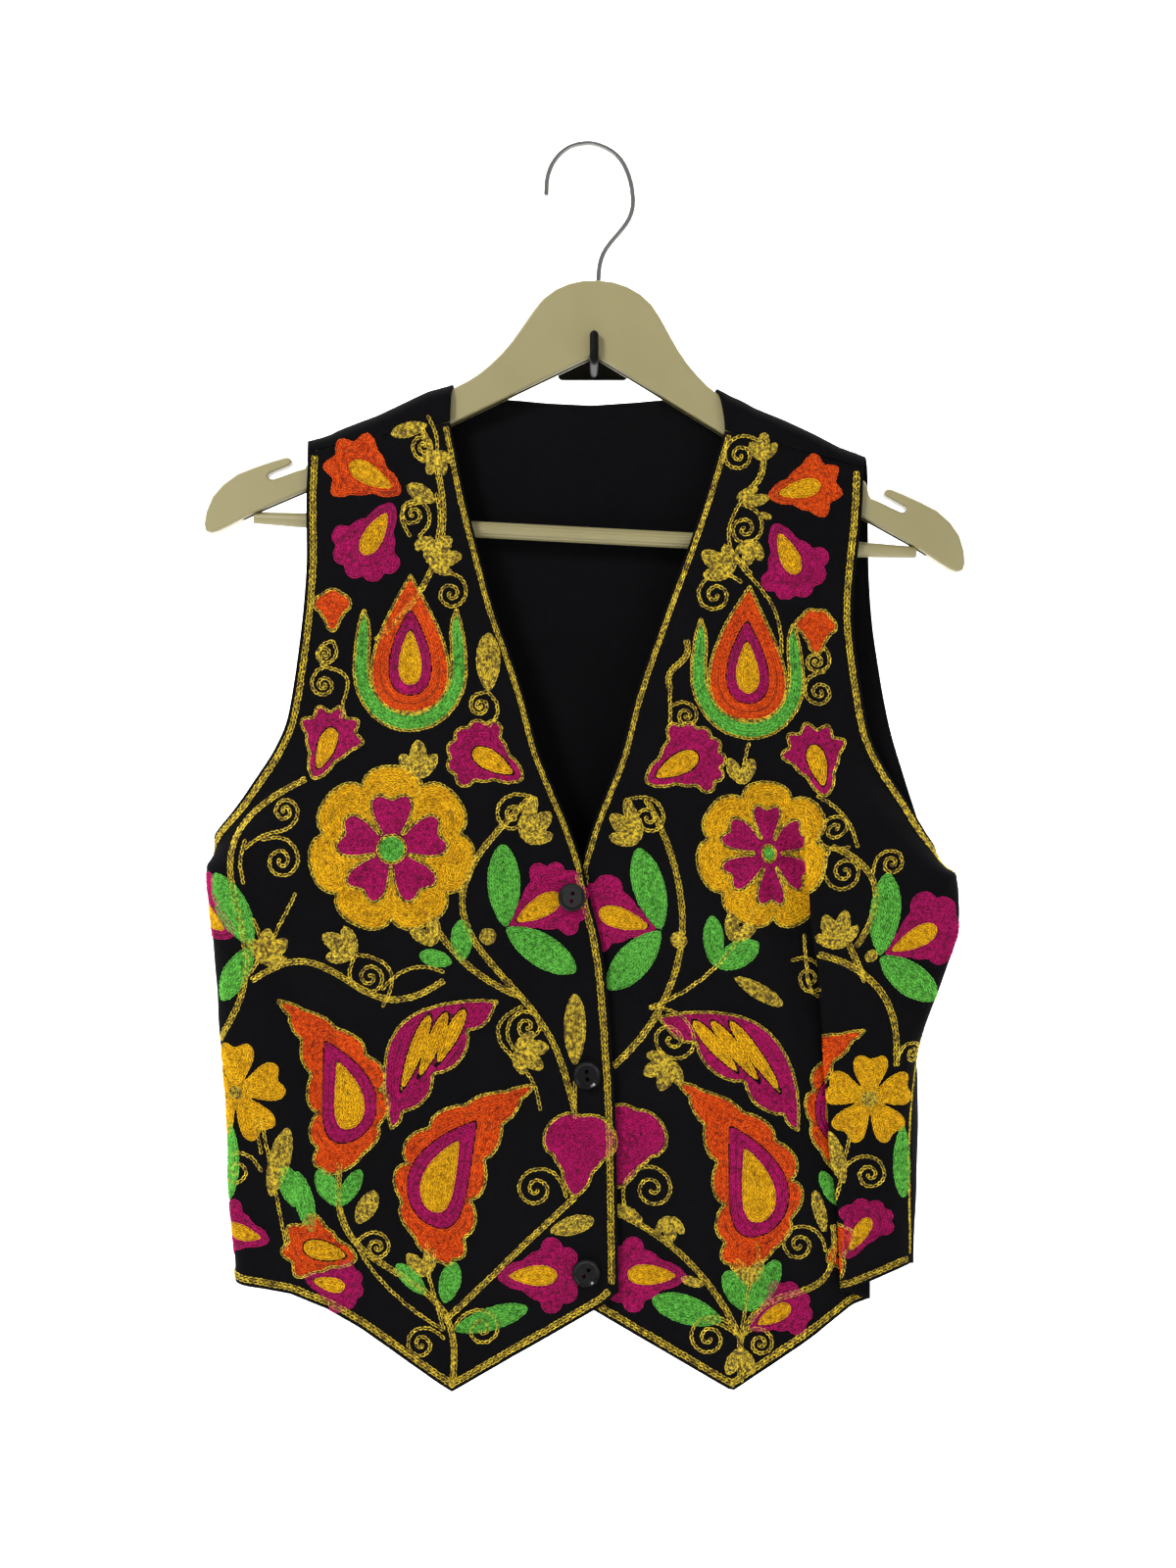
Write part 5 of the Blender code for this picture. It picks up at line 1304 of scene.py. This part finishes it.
LEFT_DESIGN = (
    *sprig((120, -60), 90, 15), curl((120, -50), 210, 10, 1),
    vine((120, -55), (110, -80), 0.2, rows=2), vine((115, -75), (140, -170), -0.1, -0.1),
    vine((105, -110), (120, -125)), leaf(GOLD, (120, -75), 210, 15),
    leaf(GOLD, (110, -85), 15, 17.5), curl((110, -85), 285, 10, -1),
    leaf(GOLD, (120, -90), 345, 10), *sprig((120, -105), 255, 15), *sprig((110, -125), 150, 20),
    curl((115, -130), 210, 11, 1), profile(ORANGE, (125, -80), 15, 45, 4, sharp=True),
    profile(MAGENTA, (130, -95), 300, 47.5),
    profile(ORANGE, (160, -170), 90, 27.5, 4, edged=True, drop=False),
    curl((165, -165), 240, 7, -1), curl((165, -180), 255, 9, 1), *tulip((120, -225), 95),
    vine((85, -165), (75, -195), 0, 0.1, rows=2), vine((75, -195), (75, -215)),
    curl((75, -205), 330, 7, -1), profile(MAGENTA, (60, -250), 30, 50, 7, edged=True),
    profile(MAGENTA, (165, -255), 105, 45, sharp=True, edged=True),
    Figure((rosette(YELLOW, (130, -290), 42.5, 7), rosette(MAGENTA, (130, -290), 30, 6, 0.3, 0.2),
            eye(GREEN, (130, -290), 5)), edged=(0, 1, 2)),
    vine((120, -225), (115, -245)), *sprig((115, -250), 90, 17.5, 2),
    vine((160, -255), (190, -285), 0.1), curl((185, -285), 135, 10, -1),
    vine((175, -285), (195, -340), 0.3, rows=2), curl((175, -285), 300, 11, 1),
    curl((200, -300), 30, 8, -1), *sprig((185, -340), 105, 20, 4),
    leaf(GOLD, (190, -340), 165, 20), vine((185, -330), (205, -360), rows=2),
    Figure((eye(GOLD, (205, -345), 4),)), vine((150, -335), (180, -365), -0.5, 0.1),
    curl((140, -350), 315, 10, -1), leaf(GOLD, (105, -360), 330, 32.5, 0.3),
    vine((175, -345), (230, -410), 0.2, rows=2),
    profile(MAGENTA, (210, -345), 30, 50, 4, leaves=2), curl((230, -405), 15, 7, -1),
    Figure((rosette(YELLOW, (215, -430), 27.5, 5, 0.3, 0.2), eye(GOLD, (215, -430), 5))),
    leaf(GREEN, (235, -445), 270, 45, 0.3), vine((205, -445), (195, -490)),
    leaf(GOLD, (200, -480), 105, 32.5, 0.3), curl((200, -470), 345, 10, -1),
    profile(MAGENTA, (200, -525), 60, 40), wing((135, -450), 140, 100, 1),
    curl((55, -380), 300, 14, -1), *sprig((65, -410), 225, 20, 4),
    paisley((105, -530), 110, 115, -0.2),
    profile(MAGENTA, (30, -485), 75, 50, 2, edged=True, drop=False), curl((35, -500), 45, 14, -1),
    *sprig((60, -500), 270, 15), vine((30, -500), (100, -570), 0.1, rows=2),
    leaf(GOLD, (45, -505), 150, 20), leaf(GOLD, (80, -540), 165, 15),
    profile(MAGENTA, (70, -535), 180, 50), leaf(GREEN, (90, -560), 165, 42.5),
    curl((100, -570), 180, 12, 1), vine((100, -570), (80, -560), -0.1),
    curl((100, -570), 345, 8, -1), *sprig((100, -575), 270, 17.5, 2),
    vine((100, -570), (100, -595), rows=2), leaf(GREEN, (105, -555), 120, 27.5, 0.5),
    leaf(GREEN, (105, -555), 60, 35), vine((105, -540), (100, -570)),
    vine((110, -515), (105, -540), 0.1), *sprig((105, -540), 90, 17.5, 2),
    vine((100, -570), (155, -505), -0.1, 0.1, rows=2), curl((150, -520), 165, 11, 1),
    leaf(GOLD, (150, -510), 105, 27.5, 0.3), profile(MAGENTA, (105, -565), 30, 40),
    profile(MAGENTA, (65, -335), 165, 52.5, 4, leaves=2), Figure((eye(GOLD, (75, -340), 5),)),
    vine((60, -260), (30, -415), 0.2, rows=2), leaf(GREEN, (95, -355), 90, 30),
    leaf(GREEN, (95, -355), 30, 30, 0.5), vine((120, -320), (55, -380), 0.1),
    *sprig((105, -340), 60, 17.5, 2), leaf(GOLD, (55, -285), 105, 27.5, 0.3),
    *sprig((55, -285), 135, 20), curl((50, -260), 315, 10, -1), paisley((160, -475), 60, 100, 0.2),
    leaf(GREEN, (160, -495), 60, 25, 0.5), leaf(GREEN, (160, -495), 120, 25),
    profile(ORANGE, (150, -525), 15, 57.5, 3, sharp=True, edged=True),
)


class Sock:
    """A shader socket whose arithmetic adds Math nodes."""

    def __init__(self, graph: "Graph", socket: bpy.types.NodeSocket) -> None:
        """Hold a socket of a graph."""
        self.graph = graph
        self.socket = socket

    def _math(self, operation: str, *values: object) -> "Sock":
        """One Math node of the given operation."""
        return self.graph.node("ShaderNodeMath", {"operation": operation},
                               dict(enumerate(values)))[0]

    def __add__(self, other: object) -> "Sock":
        """Sum."""
        return self._math("ADD", self, other)

    __radd__ = __add__

    def __mul__(self, other: object) -> "Sock":
        """Product."""
        return self._math("MULTIPLY", self, other)

    __rmul__ = __mul__

    def __sub__(self, other: object) -> "Sock":
        """Difference."""
        return self._math("SUBTRACT", self, other)

    def __rsub__(self, other: object) -> "Sock":
        """Difference from a number."""
        return self._math("SUBTRACT", other, self)

    def __pow__(self, other: object) -> "Sock":
        """Power."""
        return self._math("POWER", self, other)

    def clamp(self) -> "Sock":
        """Kept from 0 to 1."""
        return self._math("MAXIMUM", self._math("MINIMUM", self, 1.0), 0.0)

    def sine(self) -> "Sock":
        """Sine of an angle in radians."""
        return self._math("SINE", self)


class Graph:
    """A material's node tree, with one method that adds any node."""

    def __init__(self, name: str) -> None:
        """Make an empty material with a Principled shader."""
        self.material = bpy.data.materials.new(name)
        self.material.use_nodes = True
        self.tree = self.material.node_tree
        self.shader = self.tree.nodes["Principled BSDF"]

    def node(self, kind: str, settings: dict | None = None, values: dict | None = None) -> list:
        """Add a node.

        Args:
            kind: Its type.
            settings: Its properties, and "stops" for a ramp: position and colour rows.
            values: Numbers, colours or sockets for its inputs, by name or index.

        Returns:
            Its outputs as sockets.
        """
        made = self.tree.nodes.new(kind)
        for key, value in (settings or {}).items():
            if key == "stops":
                ramp = made.color_ramp.elements
                while len(ramp) < len(value):
                    ramp.new(0.5)
                for stop, (place, colour) in zip(ramp, value):
                    stop.position = place
                    stop.color = (*colour, 1.0)
            else:
                setattr(made, key, value)
        for key, value in (values or {}).items():
            self.feed(made.inputs[key], value)
        return [Sock(self, out) for out in made.outputs]

    def feed(self, socket: bpy.types.NodeSocket, value: object) -> None:
        """Link a socket, or set its number or colour."""
        if isinstance(value, Sock):
            self.tree.links.new(value.socket, socket)
        elif isinstance(value, tuple) and len(value) == 3 and socket.type == "RGBA":
            socket.default_value = (*value, 1.0)
        else:
            socket.default_value = value

    def surface(self, **values: object) -> bpy.types.Material:
        """Set the shader's sockets by their names with spaces as underscores."""
        for key, value in values.items():
            self.feed(self.shader.inputs[key.replace("_", " ")], value)
        return self.material

    def place(self, kind: str = "Object") -> Sock:
        """Object coordinates, or UV."""
        outs = self.node("ShaderNodeTexCoord")
        return outs[3 if kind == "Object" else 2]

    def noise(self, vector: Sock, scale: float, detail: float = 3.0) -> Sock:
        """Noise from 0 to 1 at a scale in cycles per metre."""
        return self.node("ShaderNodeTexNoise", None,
                         {"Vector": vector, "Scale": scale, "Detail": detail})[0]

    def blend(self, factor: Sock, low: object, high: object) -> Sock:
        """Mix of two colours."""
        outs = self.node("ShaderNodeMix", {"data_type": "RGBA"}, {0: factor, 6: low, 7: high})
        return outs[2]

    def bump(self, height: Sock, depth: float, strength: float = 1.0) -> Sock:
        """Normal from a height; depth is in metres."""
        return self.node("ShaderNodeBump", None, {"Height": height, "Distance": depth,
                                                  "Strength": strength})[0]


@dataclass(frozen=True)
class BlackCloth:
    """Plain-woven matt black cotton: fine warp and weft, with slubs and faint wear."""

    dark: tuple = (0.0014, 0.0014, 0.0018)
    pale: tuple = (0.0040, 0.0040, 0.0049)
    threads: float = 2600.0   # threads per metre

    def material(self, name: str) -> bpy.types.Material:
        """Build the finish over the flat UV map, so the weave follows the cloth."""
        graph = Graph(name)
        flat = graph.place("UV")
        u, v, _ = graph.node("ShaderNodeSeparateXYZ", None, {0: flat})
        warp = (u * (2.0 * math.pi * self.threads)).sine()
        weft = (v * (2.0 * math.pi * self.threads)).sine()
        weave = warp * weft
        slub = graph.noise(flat, 260.0, 5.0)
        broad = graph.noise(graph.place(), 14.0, 3.0)
        shade = (slub * 0.55 + broad * 0.6 - 0.1).clamp()
        height = weave * 0.25 + slub
        return graph.surface(
            Base_Color=graph.blend(shade, self.dark, self.pale),
            Roughness=(0.84 + slub * 0.1), Specular_IOR_Level=0.05,
            Normal=graph.bump(height, 0.00022, 0.6))


@dataclass(frozen=True)
class Yarn:
    """Twisted embroidery yarn: colour drifts from link to link, with a soft gloss."""

    name: str
    deep: tuple
    bright: tuple
    rough: float = 0.62

    def material(self, painted_shade_ground: bool = False) -> bpy.types.Material:
        """Build the finish; the ground's copy is darkened: painted shade between the rows."""
        graph = Graph(self.name + ("_ground" if painted_shade_ground else ""))
        place = graph.place()
        fine = graph.noise(place, 620.0, 2.0)
        broad = graph.noise(place, 55.0, 2.0)
        shade = (fine * 2.7 + broad * 0.6 - 1.1).clamp()
        low, high = self.deep, self.bright
        if painted_shade_ground:
            # painted shade: the ground's copy of the thread is darkened to about a third
            low, high = (tuple(0.36 * value for value in tone) for tone in (low, high))
        return graph.surface(
            Base_Color=graph.blend(shade, low, high), Roughness=self.rough,
            Specular_IOR_Level=0.12,
            Normal=graph.bump(graph.noise(place, 2400.0, 2.0), 0.0002, 0.5))


@dataclass(frozen=True)
class Lame:
    """Metallic gold thread: flat foil wound on a core, with painted glints and painted shade
    specks.
    """

    name: str
    deep: tuple = (0.11, 0.062, 0.004)
    bright: tuple = (0.94, 0.70, 0.050)

    def material(self, painted_shade_ground: bool = False) -> bpy.types.Material:
        """Build the finish; the ground's copy is darkened: painted shade between the rows."""
        graph = Graph(self.name + ("_ground" if painted_shade_ground else ""))
        place = graph.place()
        twist_and_glint = graph.noise(place, 620.0, 2.0)
        patch = graph.noise(place, 200.0, 2.0)
        # painted highlight and shade: fine noise sets bright glint specks and dark specks between
        # links
        shade = (twist_and_glint * 4.0 + patch * 0.8 - 1.95).clamp()
        low, high = self.deep, self.bright
        if painted_shade_ground:
            # painted shade: the ground's copy of the gold is darkened to about a third
            low, high = (tuple(0.36 * value for value in tone) for tone in (low, high))
        return graph.surface(
            Base_Color=graph.blend(shade, low, high),
            Metallic=(0.35 + shade * 0.45), Roughness=(0.52 - shade * 0.2),
            Normal=graph.bump(twist_and_glint, 0.0005, 0.9))


@dataclass(frozen=True)
class Gloss:
    """A moulded, painted or polished hard finish with a fine uneven skin."""

    name: str
    deep: tuple
    pale: tuple
    rough: float
    metallic: float = 0.0
    coat: float = 0.0
    shine: float = 0.5        # strength of the plain reflection
    grain: float = 0.00004    # depth of the skin's unevenness, metres
    scale: float = 300.0

    def material(self) -> bpy.types.Material:
        """Build the finish."""
        graph = Graph(self.name)
        place = graph.place()
        broad = graph.noise(place, self.scale * 0.12, 3.0)
        fine = graph.noise(place, self.scale, 3.0)
        return graph.surface(
            Base_Color=graph.blend(broad, self.deep, self.pale), Metallic=self.metallic,
            Roughness=(self.rough - 0.06 + fine * 0.12), Coat_Weight=self.coat,
            Specular_IOR_Level=self.shine, Coat_Roughness=0.08,
            Normal=graph.bump(fine, self.grain, 0.5))


YARNS = {
    Thread.MAGENTA: Yarn("thread_magenta", (0.16, 0.0012, 0.036), (0.55, 0.006, 0.150)),
    Thread.ORANGE: Yarn("thread_orange", (0.36, 0.020, 0.0015), (0.92, 0.115, 0.004)),
    Thread.YELLOW: Yarn("thread_yellow", (0.42, 0.175, 0.0015), (0.96, 0.56, 0.006)),
    Thread.GREEN: Yarn("thread_green", (0.035, 0.17, 0.014), (0.17, 0.64, 0.085)),
    Thread.GOLD: Lame("thread_gold"),
}


@dataclass
class Vest:
    """The garment: three cloth panels, the gold trims and the embroidery."""

    margin: tuple = (3.0, 4.9)        # offsets of the trim's two rows from an edge
    neck_margin: tuple = (2.3, 3.7)   # the same on the finer neck trim
    trim_row: float = 2.1
    neck_row: float = 1.65

    def edges(self) -> tuple:
        """Flat lines of the centre front, neck, hem, side and armhole, inwards to the left."""
        z = np.arange(-540.0, -303.0, 1.0)
        front = np.stack([smooth(INNER_EDGE, z)[0], z], 1)[::-1]
        z = np.arange(-303.0, -45.6, 1.0)
        neck = np.stack([smooth(INNER_EDGE, z)[0], z], 1)[::-1]
        u = np.arange(3.0, 239.0, 0.5)
        hem = np.stack([u, np.interp(u, HEM[:, 0], HEM[:, 1])], 1)
        v = np.linspace(0.012, UNDERARM - 0.004, 240)
        side = np.stack(smooth(OUTER_EDGE, v), 1)
        v = np.linspace(UNDERARM + 0.006, 0.997, 240)
        arm = np.stack(smooth(OUTER_EDGE, v), 1)
        return front, neck, hem, side, arm

    def sew(self, front: Front, design: tuple, finishes: dict) -> None:
        """Sew the trims and the design onto one front."""
        hand = Embroiderer()
        sewing = hand.lay(design)
        centre, neck, hem, side, arm = self.edges()
        hand.trim(sewing, centre, self.margin, self.trim_row)
        hand.trim(sewing, neck, self.neck_margin, self.neck_row)
        hand.trim(sewing, hem, self.margin, self.trim_row)
        rolled = front.side > 0
        hand.trim(sewing, side, (1.9,) if rolled else self.margin,
                  self.neck_row if rolled else self.trim_row)
        hand.trim(sewing, arm, self.margin, self.trim_row)
        for thread in Thread:
            hand.stitch(sewing, thread, front, finishes[thread])

    def build(self) -> None:
        """Make the cloth and then the embroidery."""
        cloth = BlackCloth().material("black_cotton")
        right = Front("front_wearers_right", RIGHT_FRONT, -1, RIGHT_SOFT_FOLDS, RIGHT_CREASES)
        left = Front("front_wearers_left", LEFT_FRONT, 1, LEFT_SOFT_FOLDS, LEFT_CREASES)
        right.build(cloth)
        left.build(cloth)
        Back(right, left).build(cloth)
        # each thread gets its finish and a darkened copy painted as shade for the ground
        finishes = {thread: (yarn.material(), yarn.material(True))
                    for thread, yarn in YARNS.items()}
        self.sew(right, RIGHT_DESIGN, finishes)
        self.sew(left, LEFT_DESIGN, finishes)


@dataclass(frozen=True)
class Fittings:
    """Finishes of the pieces kept from the solids: buttons, hanger and hooks."""

    finishes: tuple = (
        (("button_top", "button_middle", "button_bottom"),
         Gloss("polished_black", (0.0030, 0.0030, 0.0034), (0.0065, 0.0065, 0.0070), 0.16,
               coat=0.06, shine=0.12, scale=120.0)),
        (("hanger_body",),
         Gloss("satin_beige", (0.225, 0.196, 0.088), (0.272, 0.238, 0.113), 0.38,
               grain=0.00006)),
        (("steel_hook",),
         Gloss("bright_wire", (0.20, 0.195, 0.185), (0.34, 0.335, 0.32), 0.22, metallic=1.0,
               scale=900.0)),
        (("wall_hook",),
         Gloss("black_paint", (0.0030, 0.0030, 0.0034), (0.0075, 0.0075, 0.0080), 0.45,
               shine=0.05)),
    )

    def dress(self, nodes: dict) -> None:
        """Assign each finish to its nodes."""
        for names, finish in self.finishes:
            material = finish.material()
            for name in names:
                nodes[name].data.materials.clear()
                nodes[name].data.materials.append(material)
            if "hanger_body" in names:
                RibbedBar().build(material)
                # a darker beige strip: painted shade standing in for the slot under each arm
                ArmSlotShadow().build(Gloss("shaded_beige", (0.035, 0.030, 0.014),
                                         (0.050, 0.043, 0.020), 0.9, shine=0.0).material())


def hanger_place(u: np.ndarray, v: np.ndarray, y: np.ndarray) -> np.ndarray:
    """Points from hanger sizes: sideways, down from the head and forward or back.

    The head's top is at x 3.1 and z 39.6, and the hanger tilts by three degrees.
    """
    cos, sin = math.cos(math.radians(3.0)), math.sin(math.radians(3.0))
    x, y, z = np.broadcast_arrays(3.1 + u * cos - v * sin, HANG_Y + y, 39.6 - u * sin - v * cos)
    return np.stack([x, y, z], -1)


@dataclass(frozen=True)
class ArmSlotShadow:
    """A dark strip along the underside of the hanger's arms: painted shade for the slot there."""

    edge: tuple = ((3.0, 45.2), (14.0, 51.1), (40.0, 65.3), (76.5, 85.2), (120.0, 108.0),
                   (163.2, 130.7), (189.5, 143.6), (199.0, 148.9))
    half_width: float = 2.4
    proud: float = 0.12       # how far it lies off the underside

    def build(self, material: bpy.types.Material) -> None:
        """Make the painted-shade strip under each arm."""
        line = drawn(np.array(self.edge), 4.0, False)
        line = beside(line, self.proud)
        for side, name in ((-1.0, "left"), (1.0, "right")):
            across = np.array([-self.half_width, self.half_width])
            points = hanger_place(side * line[:, :1], line[:, 1:], across)
            faces = grid_cells(len(line), 2)
            piece = new_piece(f"arm_slot_painted_shadow_{name}", points.reshape(-1, 3), faces, material)


@dataclass(frozen=True)
class RibbedBar:
    """The trouser bar's grip: long fine ribs all round its middle, fading at each end.

    Its radius is the bar's, raised by half a cosine wave for each rib round it.
    """

    down: float = 147.6
    half: float = 166.0
    radius: float = 4.32
    rib: float = 0.42
    ribs: int = 13

    def build(self, material: bpy.types.Material) -> None:
        """Make the ribbed tube."""
        u = np.linspace(-self.half, self.half, 45)
        turn = np.linspace(0.0, 2.0 * math.pi, 8 * self.ribs, endpoint=False)
        fade = ease((self.half - np.abs(u)) / 9.0)
        radius = self.radius - 0.08 + fade[:, None] * (
            0.08 + self.rib * np.abs(np.cos(0.5 * self.ribs * turn))[None])
        points = hanger_place(u[:, None], self.down - radius * np.sin(turn),
                              -radius * np.cos(turn))
        rows, columns = radius.shape
        i, j = np.meshgrid(np.arange(rows - 1), np.arange(columns), indexing="ij")
        here, beyond = i * columns + j, i * columns + (j + 1) % columns
        faces = np.stack([here, beyond, beyond + columns, here + columns], -1).reshape(-1, 4)
        piece = new_piece("ribbed_bar", points.reshape(-1, 3), faces, material)


@dataclass(frozen=True)
class Studio:
    """Pale floor curving up into a backdrop, soft lights and the camera, all in metres."""

    floor_z: float = -0.98
    wall_y: float = 2.6
    front_y: float = -3.4
    curve: float = 0.9
    height: float = 4.2
    half_width: float = 4.6
    key: float = 26.0
    fill: float = 8.0
    wash: float = 130.0
    sky: float = 0.5

    def light(self, name: str, place: tuple, aim: tuple, size: float, power: float) -> None:
        """Add one square soft light aimed at a point."""
        data = bpy.data.lights.new(name, "AREA")
        data.shape = "SQUARE"
        data.size = size
        data.energy = power
        lamp = bpy.data.objects.new(name, data)
        lamp.location = place
        lamp.rotation_euler = (Vector(aim) - Vector(place)).to_track_quat("-Z", "Y").to_euler()
        bpy.context.scene.collection.objects.link(lamp)

    def backdrop(self) -> None:
        """Floor, quarter curve and wall: one profile carried straight across."""
        turn = np.linspace(0.0, math.pi / 2, 24)
        y = np.concatenate([[self.front_y], self.wall_y + self.curve * (np.sin(turn) - 1.0),
                            [self.wall_y]])
        z = np.concatenate([[0.0], self.curve * (1.0 - np.cos(turn)), [self.height]])
        x = np.array([-self.half_width, self.half_width])
        verts = np.stack([np.broadcast_to(x[None], (len(y), 2)), np.repeat(y[:, None], 2, 1),
                          np.repeat(z[:, None] + self.floor_z, 2, 1)], -1).reshape(-1, 3)
        mesh = bpy.data.meshes.new("backdrop")
        mesh.from_pydata(verts.tolist(), [], grid_cells(len(y), 2).tolist())
        mesh.polygons.foreach_set("use_smooth", np.ones(len(mesh.polygons), bool))
        backdrop = bpy.data.objects.new("backdrop", mesh)
        bpy.context.scene.collection.objects.link(backdrop)
        graph = Graph("pale_paper")
        speck = graph.noise(graph.place(), 60.0)
        mesh.materials.append(graph.surface(
            Base_Color=graph.blend(speck, (0.88, 0.88, 0.88), (0.91, 0.91, 0.91)),
            Roughness=0.9))

    def build(self) -> None:
        """Add the backdrop, the lights, the sky and the camera."""
        self.backdrop()
        self.light("key", (-1.0, -1.3, 0.75), (0.0, -0.04, -0.25), 0.38, self.key)
        self.light("fill", (1.3, -1.5, 0.1), (0.0, -0.04, -0.3), 1.2, self.fill)
        self.light("wash_left", (-1.3, 0.75, 1.6), (-0.7, 2.6, -0.2), 1.4, self.wash)
        self.light("wash_right", (1.3, 0.75, 1.6), (0.7, 2.6, -0.2), 1.4, self.wash)
        world = bpy.data.worlds.new("sky")
        world.use_nodes = True
        world.node_tree.nodes["Background"].inputs[0].default_value = (1.0, 1.0, 1.0, 1.0)
        world.node_tree.nodes["Background"].inputs[1].default_value = self.sky
        bpy.context.scene.world = world
        bpy.context.scene.view_settings.view_transform = "Standard"
        data = bpy.data.cameras.new("camera")
        data.lens = 45.8
        data.sensor_fit = "VERTICAL"
        data.sensor_height = 36.0
        camera = bpy.data.objects.new("camera", data)
        camera.location = (-0.0029, -1.196, -0.2527)
        camera.rotation_euler = (math.pi / 2, 0.0, 0.0)
        bpy.context.scene.collection.objects.link(camera)
        bpy.context.scene.camera = camera


def main() -> None:
    """Build every sub-assembly round the fixed frame."""
    logging.basicConfig(level=logging.INFO, format="%(message)s")
    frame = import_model()
    Studio().build()
    Vest().build()
    Fittings().dress({name: bpy.data.objects[name] for name in frame["nodes"]})


if __name__ == "__main__":
    main()
